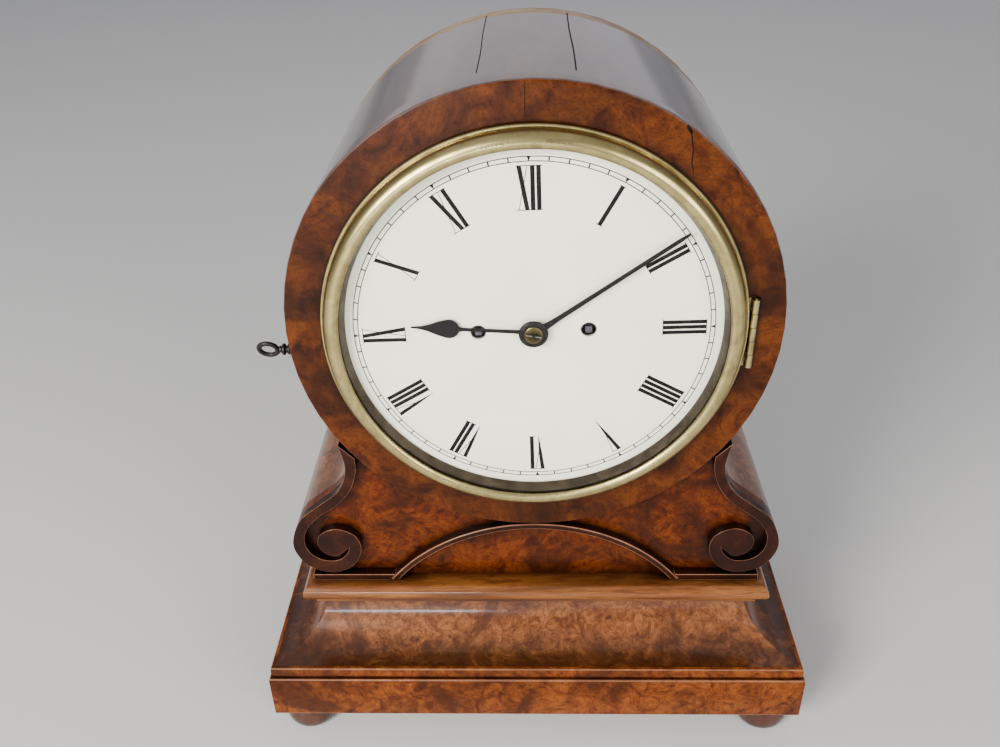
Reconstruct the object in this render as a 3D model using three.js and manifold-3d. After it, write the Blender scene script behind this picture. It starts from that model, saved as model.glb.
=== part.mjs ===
// A drum-headed bracket clock: wooden case, glazed brass bezel, painted dial and a twin-fusee movement.
// Millimetres, +Z up, the front faces -Y, the origin is the middle of the footprint on the table.
import * as THREE from "three";
import { mergeVertices } from "three/addons/utils/BufferGeometryUtils.js";
import Module from "manifold-3d";

const wasm = await Module();
wasm.setup();

// ---- driving dimensions: clearances -------------------------------------------------------------
const seatGap = 0.3; // between pieces that sit on each other along a curve or in a turned group
const runGap = 0.25; // radial, round a turning arbor

// ---- driving dimensions: case --------------------------------------------------------------------
const baseWidth = 328.6;
const footHeight = 18.7;
const footRadius = 17;
const footInset = 18.8; // foot's axis from the face of the plinth band
const bandHeight = 31.2;
const grooveHeight = 1.3;
const grooveDepth = 2.6;
const baseFilletHeight = 6.5;
const baseFilletSetback = 1.7;
const cavettoHeight = 30;
const cavettoProjection = 33.2;
const underFilletHeight = 4.4;
const underFilletProjection = 5.7; // past the top of the cavetto
const noseThickness = 11.6;
const noseProjection = 12; // past the top of the cavetto
const plinthWall = 11.4;
const bottomBoardThickness = 8;
const plinthBackThickness = 10;
const ringToCavettoTop = 4.3; // the top of the cavetto stands this far behind the front ring's face
const bobToPlinth = 4.166; // from the end of the pendulum rod to the board under it
const drumRadius = 129.2;
const drumWall = 9;
const drumDepth = 158;
const backOverhang = 4; // plinth past the back of the drum
const frontRingThickness = 14;
const ringBoreRadius = 103.4;
const ringEdgeRounding = 1.8;
const backRingThickness = 14;
const rearOpeningRadius = 97;
const rearDoorRadius = 103.4;
const rearDoorThickness = 6;
const rearDoorInset = 1;
const doorKnobRadius = 5;
const doorKnobLength = 4.4;
const turnButtonLength = 24;
const turnButtonWidth = 6;
const turnButtonThickness = 1.6;
const turnButtonOffset = 9; // its screw past the edge of the door
const rearHingeLength = 28;
const rearKnuckleRadius = 1.6;
const rearLeafWidth = 14;
const panelSetback = 6.5; // waist panel behind the front ring's face
const panelThickness = 7.5;
const reliefThickness = 6; // scrolls, arch and rails on the panel
const waistSideThickness = 10;
const waistBackThickness = 8;
const railHeight = 4.5;
const railProjection = 6; // past the top of the cavetto
const waistProjection = 15; // belly of the scrolls, past the top of the cavetto
const archRadius = 109.4;
const archWidth = 3.8;
const seatBoardThickness = 11;
const seatBoardDepth = 54;

// ---- driving dimensions: bezel, dial and hands ---------------------------------------------------
const bezelRadius = 109.5;
const bezelFlangeThickness = 2.9;
const bezelFlangeWidth = 3.6;
const bezelLipRadius = 99.6;
const bezelHeight = 10.2; // from the front ring's face to the crest of the roll
const glassThickness = 1.8;
const glassSetback = 8.2; // glass face in front of the ring's face
const glassRadius = 101.6;
const sightRingRadius = 97.4;
const dialRadius = 102.5;
const dialThickness = 1.6;
const dialSetback = 0.5;
const windingHoleRadius = 4;
const windingSquareHalf = 1.7;
const dialCentreHoleRadius = 4;
const dialFootRadius = 1.8;
const dialFootX = 42;
const dialFootZ = 50;
const handThickness = 0.8;
const bossRise = 0.5; // front of the minute hand's boss past its blade
const hourHandLength = 63.5;
const hourBladeLength = 27;
const hourBladeHalfWidth = 5.4;
const hourShankHalfWidth = 1.1;
const hourBossRadius = 6;
const minuteHandLength = 93.8;
const minuteHandBaseWidth = 3.3;
const minuteHandTipWidth = 1.7;
const minuteBossRadius = 7.6;
const colletRadius = 4.8;
const minuteShown = 9.25;
const hourShown = 9;
const lean = THREE.MathUtils.degToRad(1.25); // movement and dial sit a little turned in the case

// ---- driving dimensions: bezel hinge and lock ----------------------------------------------------
const hingeLength = 39.5;
const hingeMiddle = -1.2; // height against the dial centre
const hingeAxisX = 111.8;
const hingeAxisOut = 1.9; // in front of the ring's face
const knuckleRadius = 1.9;
const hingePinRadius = 0.9;
const hingeRecessDepth = 4.4;
const hingeRecessEdge = 114.3;
const leafThickness = 1.1;
const keyDepth = 26; // key axis behind the ring's face
const keyDrop = 24.4; // below the dial centre
const keyShaftRadius = 2.4;
const keyBowHeight = 14.4;
const keyBowLength = 13.2;
const keyBowWire = 3;
const keyBowTurn = THREE.MathUtils.degToRad(28);
const bitThickness = 1.8;
const lockBelowKey = 17;
const lockBehindKey = 10;
const keyReach = 154; // outer end of the bow from the dial's axis
const boltTravel = 6.5;
const boltWidth = 3.2;
const boltThickness = 2.2;
const catchReach = 20.5; // how far the bezel's catch goes in behind the ring's face
const catchLength = 4; // of the hook at its end
const catchHalfWidth = 4;
const catchThickness = 1.5;
const catchInset = 2; // from the edge of the bezel

// ---- driving dimensions: movement ----------------------------------------------------------------
const plateThickness = 2.5;
const plateSetback = 14; // front plate behind the ring's face
const plateGap = 47.5;
const plateHalfWidth = 60;
const plateTop = 64;
const plateBottom = -66;
const pillarRadius = 4;
const pillarInset = 6; // from the sides and the foot of the plates
const pillarTopInset = 8;
const pivotRadius = 0.8;
const arborRadius = 1.2;
const greatModule = 0.731;
const greatTeeth = 72;
const strikeGreatTeeth = 63;
const centrePinionLeaves = 6;
const centreModule = 0.525;
const centreTeeth = 72;
const thirdPinionLeaves = 6;
const thirdModule = 0.495;
const thirdTeeth = 66;
const escapePinionLeaves = 6;
const escapeTeeth = 30;
const escapeRadius = 13;
const motionModule = 0.75;
const cannonTeeth = 24;
const hourTeeth = 60;
const hourPinionLeaves = 5;
const pinWheelTeeth = 48;
const pinWheelModule = 0.58;
const wheelThickness = 1.5;
const fuseeLarge = 19;
const fuseeSmall = 9;
const fuseeLength = 28;
const fuseeTurns = 4;
const fuseeArborRadius = 2.4;
const fuseePivot = 1.4;
const fuseeCapRadius = 7;
const barrelRadius = 19;
const barrelLength = 32;
const barrelPivot = 2;
const barrelX = 38;
const barrelZ = -41.5;
const crutchLength = 38; // pallet arbor to the fork
const pendulumLength = 200; // suspension point to the middle of the bob
const pendulumRodRadius = 1.2;
const bobRadius = 19;
const bobThickness = 12;
const ratingNutDrop = 7; // from the edge of the bob to the end of the rod
const bellRadius = 34;
const bellHeight = 25;
const bellWall = 1.8;
const bellRim = 71; // above the dial centre
const bellStandX = 24;
const bellStandHalfWidth = 3;
const hammerX = -52;
const hammerZ = 36;
const hammerHeadRadius = 3.6;
const hammerHeadLength = 10;
const cockHalfWidth = 18;
const cockHalfHeight = 6;
const cockThickness = 2.5;
const cockStandoff = 6; // in front of its bridge, for the crutch

// ---- places worked out from the sizes ------------------------------------------------------------
const deg = THREE.MathUtils.degToRad;
const centreDistance = (a, b, module) => ((a + b) * module) / 2;
const thirdZ = centreDistance(centreTeeth, thirdPinionLeaves, centreModule);
const escapeZ =
  thirdZ + centreDistance(thirdTeeth, escapePinionLeaves, thirdModule);
const palletZ = escapeZ + escapeRadius * Math.SQRT2;
const rodEnd = pendulumLength + bobRadius + ratingNutDrop; // below the suspension point
const waistHeight = rodEnd + bobToPlinth - palletZ * Math.cos(lean); // plinth top to dial centre
const cavettoTopHalf = baseWidth / 2 - baseFilletSetback - cavettoProjection;
const mitre = ringToCavettoTop + cavettoTopHalf; // front face of a moulding = mitre - its half width
const baseFront = mitre - baseWidth / 2;
const baseBack = drumDepth + backOverhang;
const plinthHeight = bandHeight + grooveHeight + baseFilletHeight + cavettoHeight;
const boardHeight = underFilletHeight + noseThickness;
const dialHeight = footHeight + plinthHeight + boardHeight + waistHeight;
const faceY = -(baseFront + baseBack) / 2; // puts the middle of the footprint at Y = 0
const floorZ = -dialHeight; // heights below are against the dial centre
const plinthBottom = floorZ + footHeight;
const plinthTop = plinthBottom + plinthHeight;
const waistBottom = plinthTop + boardHeight;
const plinthInner = cavettoTopHalf - plinthWall;
const shellBack = drumDepth - backRingThickness;
const drumBore = drumRadius - drumWall;
const reliefFront = panelSetback - reliefThickness;
const panelBack = panelSetback + panelThickness;
const backPlateY = plateSetback + plateThickness + plateGap;
const movementBack = backPlateY + plateThickness;
const rimSegments = 60;

// ---- materials -----------------------------------------------------------------------------------
const paint = (color, roughness, metalness) =>
  new THREE.MeshStandardMaterial({ color, roughness, metalness });
const walnut = paint(0x8a4a22, 0.35, 0);
const darkWalnut = paint(0x5a2a16, 0.35, 0);
const plainWood = paint(0x9a7448, 0.7, 0);
const brass = paint(0xb9a26a, 0.3, 1);
const steel = paint(0x8d9094, 0.35, 1);
const blackSteel = paint(0x1b1a1c, 0.4, 0.8);
const darkBrass = paint(0x4a4038, 0.3, 1);
const enamel = paint(0xefeee2, 0.35, 0);
const clearGlass = new THREE.MeshStandardMaterial({
  color: 0xe8f0ee,
  roughness: 0.05,
  transparent: true,
  opacity: 0.2,
});

// ---- shape helpers -------------------------------------------------------------------------------
function toSolid(geometry) {
  const bare = geometry.index ? geometry.toNonIndexed() : geometry.clone();
  bare.deleteAttribute("normal");
  bare.deleteAttribute("uv");
  const merged = mergeVertices(bare, 1e-4);
  return new wasm.Manifold(
    new wasm.Mesh({
      numProp: 3,
      vertProperties: merged.attributes.position.array,
      triVerts: new Uint32Array(merged.index.array),
    }),
  );
}

function toGeometry(solid) {
  const mesh = solid.getMesh();
  const geometry = new THREE.BufferGeometry();
  geometry.setAttribute(
    "position",
    new THREE.BufferAttribute(mesh.vertProperties, 3),
  );
  geometry.setIndex(new THREE.BufferAttribute(mesh.triVerts, 1));
  return geometry;
}

const join = (...parts) =>
  toGeometry(parts.map(toSolid).reduce((a, b) => a.add(b)));
const cut = (part, ...tools) =>
  toGeometry(tools.map(toSolid).reduce((a, b) => a.subtract(b), toSolid(part)));

// A box between two corners.
function box(low, high) {
  const size = high.map((h, i) => h - low[i]);
  return new THREE.BoxGeometry(...size).translate(
    ...low.map((l, i) => l + size[i] / 2),
  );
}

// A cylinder along Y between two depths, at (x, z).
function rodY(radius, from, to, x = 0, z = 0, segments = 16) {
  return new THREE.CylinderGeometry(
    radius,
    radius,
    to - from,
    segments,
  ).translate(x, (from + to) / 2, z);
}

// A cylinder along Z between two heights, at (x, y).
function rodZ(radius, from, to, x = 0, y = 0, segments = 16) {
  return new THREE.CylinderGeometry(radius, radius, to - from, segments)
    .rotateX(Math.PI / 2)
    .translate(x, y, (from + to) / 2);
}

// A cylinder along X between two places, at (y, z).
function rodX(radius, from, to, y = 0, z = 0, segments = 16) {
  return new THREE.CylinderGeometry(radius, radius, to - from, segments)
    .rotateZ(Math.PI / 2)
    .translate((from + to) / 2, y, z);
}

// A ring or knob turned about Y: pairs of radius and depth, in order.
function turned(profile, segments = rimSegments) {
  const points = profile.map(([r, y]) => new THREE.Vector2(r, y));
  return new THREE.LatheGeometry(points, segments);
}

// A flat outline in X and Z, as thick as the two depths say.
function plate(shape, front, back, curveSegments = 12) {
  return new THREE.ExtrudeGeometry(shape, {
    depth: back - front,
    bevelEnabled: false,
    curveSegments,
  })
    .rotateX(Math.PI / 2)
    .translate(0, back, 0);
}

const outline = (points) =>
  new THREE.Shape(points.map(([x, z]) => new THREE.Vector2(x, z)));
const mirrored = (points) => points.map(([x, z]) => [-x, z]).reverse();
const spline = (points, steps) =>
  new THREE.SplineCurve(points.map(([x, z]) => new THREE.Vector2(x, z)))
    .getPoints(steps)
    .map((p) => [p.x, p.y]);

function circleHole(radius, x = 0, z = 0) {
  const hole = new THREE.Path();
  hole.absarc(x, z, radius, 0, 2 * Math.PI, true);
  return hole;
}

// The same triangles, facing the other way.
const reversed = (index) =>
  index.map((v, i) => (i % 3 ? index[3 * Math.floor(i / 3) + 3 - (i % 3)] : v));

// A closed body from equal rings of corners, capped at both ends.
function loft(rings, capFaces) {
  const count = rings[0].length;
  const index = [];
  for (let r = 0; r + 1 < rings.length; r++)
    for (let i = 0; i < count; i++) {
      const a = r * count + i;
      const b = r * count + ((i + 1) % count);
      index.push(a, b, b + count, a, b + count, a + count);
    }
  const last = (rings.length - 1) * count;
  for (const [a, b, c] of capFaces) {
    index.push(a, c, b);
    index.push(last + a, last + b, last + c);
  }
  const geometry = new THREE.BufferGeometry();
  geometry.setAttribute(
    "position",
    new THREE.Float32BufferAttribute(rings.flat(2), 3),
  );
  geometry.setIndex(index);
  const turnedOut = toSolid(geometry).volume() > 0;
  if (!turnedOut) geometry.setIndex(reversed(index));
  return geometry;
}

// A moulding run: its section (half width, height), swept between two end functions.
function moulding(section, startAt, endAt) {
  const flat = section.map(([w, z]) => new THREE.Vector2(w, z));
  const faces = THREE.ShapeUtils.triangulateShape(flat, []);
  return loft(
    [section.map((p) => startAt(p)), section.map((p) => endAt(p))],
    faces,
  );
}

// ---- scene tree ----------------------------------------------------------------------------------
const group = new THREE.Group();
const head = new THREE.Group(); // dial centre on the face of the front ring
head.position.set(0, faceY, dialHeight);
group.add(head);
const works = new THREE.Group(); // movement and dial, turned a little about the dial's axis
works.rotation.y = -lean;
head.add(works);

function piece(name, geometry, material, parent = head) {
  const mesh = new THREE.Mesh(geometry, material);
  mesh.name = name;
  parent.add(mesh);
  return mesh;
}

// ---- plinth --------------------------------------------------------------------------------------
function foot() {
  const profile = [
    [0, 0],
    [footRadius * 0.72, 0],
    [footRadius * 0.96, footHeight * 0.25],
    [footRadius, footHeight * 0.5],
    [footRadius * 0.92, footHeight * 0.76],
    [footRadius * 0.74, footHeight],
    [0, footHeight],
  ];
  return turned(profile, 16).rotateX(Math.PI / 2);
}

const footX = baseWidth / 2 - footInset;
const footFrontY = baseFront + footInset;
const footBackY = baseBack - footInset;
for (const [name, x, y] of [
  ["foot_front_left", -footX, footFrontY],
  ["foot_front_right", footX, footFrontY],
  ["foot_back_left", -footX, footBackY],
  ["foot_back_right", footX, footBackY],
])
  piece(name, foot(), darkWalnut).position.set(x, y, floorZ);

function plinthSection() {
  const half = baseWidth / 2;
  const bandTop = plinthBottom + bandHeight;
  const filletBottom = bandTop + grooveHeight;
  const filletTop = filletBottom + baseFilletHeight;
  const fillet = half - baseFilletSetback;
  const section = [
    [plinthInner, plinthBottom],
    [half, plinthBottom],
    [half, bandTop],
    [half - grooveDepth, bandTop],
    [half - grooveDepth, filletBottom],
    [fillet, filletBottom],
    [fillet, filletTop],
  ];
  const steps = 8;
  for (let i = 1; i <= steps; i++) {
    const a = (i / steps) * (Math.PI / 2);
    section.push([
      fillet - cavettoProjection * Math.sin(a),
      plinthTop - cavettoHeight * Math.cos(a),
    ]);
  }
  section.push([plinthInner, plinthTop]);
  return section;
}

const section = plinthSection();
piece(
  "plinth_front",
  moulding(
    section,
    ([w, z]) => [-w, mitre - w, z],
    ([w, z]) => [w, mitre - w, z],
  ),
  walnut,
);
for (const [name, side] of [
  ["plinth_left", -1],
  ["plinth_right", 1],
])
  piece(
    name,
    moulding(
      section,
      ([w, z]) => [side * w, mitre - w, z],
      ([w, z]) => [side * w, baseBack, z],
    ),
    walnut,
  );
piece(
  "plinth_back",
  box(
    [-plinthInner, baseBack - plinthBackThickness, plinthBottom],
    [plinthInner, baseBack, plinthTop],
  ),
  plainWood,
);
piece(
  "bottom_board",
  box(
    [-plinthInner, mitre - plinthInner, plinthBottom],
    [
      plinthInner,
      baseBack - plinthBackThickness,
      plinthBottom + bottomBoardThickness,
    ],
  ),
  plainWood,
);

function plinthTopBoard() {
  const r = noseThickness / 2;
  const core = cavettoTopHalf + noseProjection - r;
  const profile = [
    [cavettoTopHalf + underFilletProjection, plinthTop],
    [cavettoTopHalf + underFilletProjection, plinthTop + underFilletHeight],
  ];
  const steps = 8;
  for (let i = 0; i <= steps; i++) {
    const a = -Math.PI / 2 + (i / steps) * Math.PI;
    profile.push([core + r * Math.cos(a), waistBottom - r + r * Math.sin(a)]);
  }
  const rings = profile.map(([w, z]) => [
    [-w, mitre - w, z],
    [w, mitre - w, z],
    [w, baseBack, z],
    [-w, baseBack, z],
  ]);
  return loft(rings, [
    [0, 1, 2],
    [0, 2, 3],
  ]);
}
piece("plinth_top", plinthTopBoard(), walnut);

// ---- waist ---------------------------------------------------------------------------------------
// The outlines are drawn for a waist of this size, then stretched to the one above. Heights are
// from the top of the plinth.
const drawnHalfWidth = 144.4;
const drawnHeight = 173.5;
const waistHalf = cavettoTopHalf + waistProjection;
const onWaist = (points) =>
  points.map(([x, z]) => [
    (x * waistHalf) / drawnHalfWidth,
    waistBottom + (z * waistHeight) / drawnHeight,
  ]);

// Right-hand edge of the waist, from the drum down to the plinth.
const scrollEdge = [
  [109.8, 101],
  [107.4, 84.5],
  [113, 69.1],
  [125.5, 58.1],
  [138, 47],
  [144.4, 29.5],
  [141, 16.5],
  [134.6, 7.5],
];
const edgeCurve = spline(scrollEdge, 15);
const waistEdge = onWaist([[104, 115], ...edgeCurve, [134.6, 0]]);

function withoutDrum(geometry, front, back) {
  return cut(
    geometry,
    rodY(drumRadius + seatGap, front - 1, back + 1, 0, 0, rimSegments),
  );
}

function waistBoard(front, back) {
  return withoutDrum(
    plate(outline([...waistEdge, ...mirrored(waistEdge)]), front, back),
    front,
    back,
  );
}

function waistSide(side) {
  const inner = waistEdge.map(([x, z]) => [x - waistSideThickness, z]);
  const strip = [...waistEdge, ...inner.reverse()];
  const points = side > 0 ? strip : mirrored(strip);
  const back = drumDepth - waistBackThickness;
  return withoutDrum(plate(outline(points), panelBack, back), panelBack, back);
}

piece("waist_panel", waistBoard(panelSetback, panelBack), walnut);
piece("waist_side_left", waistSide(-1), walnut);
piece("waist_side_right", waistSide(1), walnut);
piece(
  "waist_back",
  waistBoard(drumDepth - waistBackThickness, drumDepth),
  plainWood,
);

// Scroll: a flat band that follows the waist's edge and curls into an eye.
const scrollOuter = [
  ...scrollEdge.slice(0, 7),
  [133, 9],
  [121, 6.2],
  [109.5, 12],
  [103.8, 24.5],
  [106.8, 35.2],
  [117.4, 40.3],
  [127, 36.3],
  [129.6, 29],
  [126, 21.5],
  [119, 19.1],
  [114, 23],
];
const scrollInner = [
  [110.8, 25.8],
  [113, 20.5],
  [119, 15.9],
  [128, 16.3],
  [135, 22],
  [137.3, 31],
  [134.5, 40.5],
  [127, 49.2],
  [114.4, 59],
  [105.8, 70],
  [101.6, 82.5],
  [101.2, 92],
];
function scroll(side) {
  const points = onWaist([
    ...spline(scrollOuter, 38),
    ...spline(scrollInner, 22),
  ]);
  return withoutDrum(
    plate(
      outline(side > 0 ? points : mirrored(points)),
      reliefFront,
      panelSetback,
    ),
    reliefFront,
    panelSetback,
  );
}
piece("scroll_left", scroll(-1), walnut);
piece("scroll_right", scroll(1), walnut);

// Arch moulding and its two rails stand on the plinth top.
const archCentre = -(drumRadius + seatGap) - archRadius;
function archShape() {
  const outerAngle = Math.asin((waistBottom - archCentre) / archRadius);
  const innerRadius = archRadius - archWidth;
  const innerAngle = Math.asin((waistBottom - archCentre) / innerRadius);
  const shape = new THREE.Shape();
  shape.absarc(0, archCentre, archRadius, outerAngle, Math.PI - outerAngle);
  shape.absarc(
    0,
    archCentre,
    innerRadius,
    Math.PI - innerAngle,
    innerAngle,
    true,
  );
  return shape;
}
piece(
  "arch_moulding",
  plate(archShape(), reliefFront, panelSetback, 16),
  walnut,
);
const archTool = rodY(
  archRadius + seatGap,
  reliefFront - 1,
  panelSetback + 1,
  0,
  archCentre,
  120,
);
for (const [name, side] of [
  ["rail_left", -1],
  ["rail_right", 1],
]) {
  const inner = side * (archRadius / 2);
  const outer = side * (cavettoTopHalf + railProjection);
  piece(
    name,
    cut(
      box(
        [Math.min(inner, outer), reliefFront, waistBottom],
        [Math.max(inner, outer), panelSetback, waistBottom + railHeight],
      ),
      archTool,
    ),
    walnut,
  );
}

// ---- drum ----------------------------------------------------------------------------------------
function frontRing() {
  const r = ringEdgeRounding;
  const ring = turned([
    [ringBoreRadius, 0],
    [drumRadius - r, 0],
    [drumRadius - r * 0.3, r * 0.3],
    [drumRadius, r],
    [drumRadius, frontRingThickness],
    [ringBoreRadius, frontRingThickness],
    [ringBoreRadius, 0],
  ]);
  const half = hingeLength / 2 + seatGap;
  const recess = box(
    [ringBoreRadius - 4, -1, hingeMiddle - half],
    [hingeRecessEdge, hingeRecessDepth, hingeMiddle + half],
  );
  const notch = box(
    [-bezelRadius + seatGap, -1, -5],
    [-ringBoreRadius + 3, frontRingThickness + 1, 5],
  );
  return cut(ring, recess, notch);
}
piece("drum_front_ring", frontRing(), walnut);

const pendulumY = movementBack + 11.5;
function drumShell() {
  const shell = turned([
    [drumBore, frontRingThickness],
    [drumRadius, frontRingThickness],
    [drumRadius, shellBack],
    [drumBore, shellBack],
    [drumBore, frontRingThickness],
  ]);
  const swing = bobRadius + 16;
  const slot = box(
    [-swing, pendulumY - bobThickness, -drumRadius - 5],
    [swing, pendulumY + bobThickness, -drumBore / 2],
  );
  const keyHole = rodX(
    keyShaftRadius + seatGap,
    -drumRadius - 5,
    -drumBore / 2,
    keyDepth,
    -keyDrop,
  );
  return cut(shell, slot, keyHole);
}
piece("drum_shell", drumShell(), walnut);

const doorBackY = drumDepth - rearDoorInset;
const doorFrontY = doorBackY - rearDoorThickness;
piece(
  "drum_back_ring",
  turned([
    [rearOpeningRadius, shellBack],
    [drumRadius, shellBack],
    [drumRadius, drumDepth],
    [rearDoorRadius + 2 * seatGap, drumDepth],
    [rearDoorRadius + 2 * seatGap, doorFrontY - seatGap],
    [rearOpeningRadius, doorFrontY - seatGap],
    [rearOpeningRadius, shellBack],
  ]),
  plainWood,
);
const rearDoor = turned([
  [0, doorFrontY],
  [rearDoorRadius, doorFrontY],
  [rearDoorRadius, doorBackY],
  [0, doorBackY],
]);
const doorKnob = turned(
  [
    [0, doorBackY - 1],
    [doorKnobRadius * 0.64, doorBackY - 1],
    [doorKnobRadius * 0.52, doorBackY + doorKnobLength * 0.32],
    [doorKnobRadius, doorBackY + doorKnobLength * 0.6],
    [doorKnobRadius * 0.88, doorBackY + doorKnobLength * 0.9],
    [0, doorBackY + doorKnobLength],
  ],
  20,
).translate(-rearDoorRadius * 0.8, 0, 0);
piece("rear_door", join(rearDoor, doorKnob), walnut);

// Turn button on the back ring; upright, it leaves the door free.
const buttonX = -(rearDoorRadius + turnButtonOffset);
const buttonHalf = turnButtonWidth / 2;
piece(
  "rear_turn_button",
  join(
    box(
      [buttonX - buttonHalf, drumDepth, -turnButtonLength / 2],
      [
        buttonX + buttonHalf,
        drumDepth + turnButtonThickness,
        turnButtonLength / 2,
      ],
    ),
    rodY(
      buttonHalf + 0.4,
      drumDepth,
      drumDepth + turnButtonThickness + 1,
      buttonX,
    ),
  ),
  brass,
);

// Rear hinge: knuckles stand behind the door's edge.
const rearHingeX = rearDoorRadius + 0.4;
const rearHingeY = drumDepth + rearKnuckleRadius + 0.1;
const rearHingeHalf = rearHingeLength / 2;
function rearLeaf(side, reach, surface, spans) {
  const parts = [];
  const inner = rearHingeX + side * (rearKnuckleRadius + seatGap);
  const outer = rearHingeX + side * reach;
  parts.push(
    box(
      [Math.min(inner, outer), surface, -rearHingeHalf],
      [Math.max(inner, outer), surface + leafThickness, rearHingeHalf],
    ),
  );
  for (const [low, high] of spans) {
    parts.push(rodZ(rearKnuckleRadius, low, high, rearHingeX, rearHingeY, 14));
    parts.push(
      box(
        [Math.min(rearHingeX, inner + side), drumDepth + 0.2, low],
        [Math.max(rearHingeX, inner + side), drumDepth + leafThickness, high],
      ),
    );
    if (surface < drumDepth)
      parts.push(
        box(
          [inner - 1.6, surface, low],
          [inner, drumDepth + leafThickness, high],
        ),
      );
  }
  return join(...parts);
}
const rearThird = rearHingeLength / 3;
piece(
  "rear_hinge_case_leaf",
  rearLeaf(1, rearLeafWidth, drumDepth, [
    [-rearHingeHalf, -rearHingeHalf + rearThird - seatGap],
    [rearHingeHalf - rearThird + seatGap, rearHingeHalf],
  ]),
  brass,
);
piece(
  "rear_hinge_door_leaf",
  rearLeaf(-1, rearLeafWidth, doorBackY, [[-rearThird / 2, rearThird / 2]]),
  brass,
);

// ---- bezel ---------------------------------------------------------------------------------------
const bezelBack = -seatGap;
const flangeFront = bezelBack - bezelFlangeThickness;
const glassFront = -glassSetback;
const glassBack = glassFront + glassThickness;
function bezelProfile() {
  const inner = bezelRadius - bezelFlangeWidth;
  const halfWidth = (inner - bezelLipRadius) / 2;
  const middle = bezelLipRadius + halfWidth;
  const lipFront = glassFront - seatGap;
  const points = [
    [bezelRadius, bezelBack],
    [bezelRadius, flangeFront],
    [inner, flangeFront],
  ];
  const steps = 6;
  for (let i = 1; i <= steps; i++) {
    const a = (i / steps) * Math.PI;
    const foot = i < steps / 2 ? flangeFront : lipFront;
    points.push([
      middle + halfWidth * Math.cos(a),
      foot - (bezelHeight + foot) * Math.sin(a),
    ]);
  }
  points.push([glassRadius + seatGap, lipFront]);
  points.push([glassRadius + seatGap, bezelBack]);
  points.push([bezelRadius, bezelBack]);
  return points.reverse();
}
piece("bezel", turned(bezelProfile()), brass);

// Catch: an arm on the back of the bezel that goes through the front ring, hooked for the bolt.
const catchX = -bezelRadius + catchInset;
piece(
  "bezel_catch",
  join(
    box(
      [catchX, bezelBack, -catchHalfWidth],
      [catchX + catchThickness, catchReach, catchHalfWidth],
    ),
    box(
      [catchX, catchReach - catchThickness, -catchHalfWidth],
      [catchX + catchLength, catchReach, catchHalfWidth],
    ),
  ),
  brass,
);
piece(
  "bezel_glass",
  turned(
    [
      [0, glassFront],
      [glassRadius, glassFront],
      [glassRadius, glassBack],
      [0, glassBack],
    ],
  ),
  clearGlass,
);
piece(
  "sight_ring",
  turned(
    [
      [sightRingRadius, -seatGap],
      [bezelLipRadius, glassBack + seatGap],
      [glassRadius, glassBack + seatGap],
      [glassRadius, -seatGap],
      [sightRingRadius, -seatGap],
    ],
  ),
  darkBrass,
);

// Bezel hinge: five knuckles on one pin, let into the front ring.
const knuckleLength = hingeLength / 5;
const hingeLow = hingeMiddle - hingeLength / 2;
function knuckles(which) {
  return which.map((k) => [
    hingeLow + k * knuckleLength + seatGap / 2,
    hingeLow + (k + 1) * knuckleLength - seatGap / 2,
  ]);
}
const hingePin = (radius, past) =>
  rodZ(
    radius,
    hingeLow - past,
    hingeLow + hingeLength + past,
    hingeAxisX,
    -hingeAxisOut,
    10,
  );
function caseLeaf() {
  const floor = hingeRecessDepth - leafThickness;
  const parts = [
    box(
      [ringBoreRadius + 2.5, floor, hingeLow],
      [hingeRecessEdge - seatGap, hingeRecessDepth, hingeLow + hingeLength],
    ),
  ];
  for (const [low, high] of knuckles([0, 2, 4])) {
    parts.push(rodZ(knuckleRadius, low, high, hingeAxisX, -hingeAxisOut, 12));
    parts.push(
      box(
        [hingeAxisX + 0.2, -hingeAxisOut, low],
        [hingeAxisX + knuckleRadius - 0.1, floor + 0.4, high],
      ),
    );
  }
  return join(...parts, hingePin(hingePinRadius, 0.4));
}
function bezelLeaf() {
  const inner = hingeAxisX - knuckleRadius - seatGap;
  const parts = [
    box(
      [ringBoreRadius + 0.6, bezelBack, hingeLow],
      [inner, leafThickness, hingeLow + hingeLength],
    ),
  ];
  for (const [low, high] of knuckles([1, 3])) {
    parts.push(rodZ(knuckleRadius, low, high, hingeAxisX, -hingeAxisOut, 12));
    parts.push(
      box([inner - 1, bezelBack, low], [hingeAxisX - 0.9, leafThickness, high]),
    );
  }
  return cut(join(...parts), hingePin(hingePinRadius + runGap / 2, 1));
}
piece("bezel_hinge_case_leaf", caseLeaf(), brass);
piece("bezel_hinge_bezel_leaf", bezelLeaf(), brass);
// ---- lock ----------------------------------------------------------------------------------------
const boltX = catchX + catchThickness + runGap;
const boltY = catchReach - catchThickness - seatGap - boltWidth;
const boltTop = -catchHalfWidth - 2 * seatGap;
const bitReach = keyDepth - boltY - boltWidth - 0.5;
const caseInner = boltX + boltThickness + 2;
const caseOuter = -drumBore + 9.5;
function lockCase() {
  const body = box(
    [caseOuter, frontRingThickness, -keyDrop - lockBelowKey],
    [caseInner, keyDepth + lockBehindKey, boltTop - 1.9],
  );
  const channel = box(
    [boltX - seatGap, boltY - seatGap, -keyDrop - lockBelowKey - 1],
    [boltX + boltThickness + seatGap, boltY + boltWidth + seatGap, 0],
  );
  const ward = rodX(
    bitReach + seatGap,
    caseOuter + 1.5,
    caseInner - 1,
    keyDepth,
    -keyDrop,
    20,
  );
  const keyHole = rodX(
    keyShaftRadius + seatGap,
    caseOuter - 1,
    caseInner - 2,
    keyDepth,
    -keyDrop,
  );
  return cut(body, channel, ward, keyHole);
}
piece("lock_case", lockCase(), brass);
piece(
  "lock_bolt",
  box(
    [boltX, boltY, -keyDrop - 8],
    [boltX + boltThickness, boltY + boltWidth, boltTop],
  ),
  steel,
);
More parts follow.
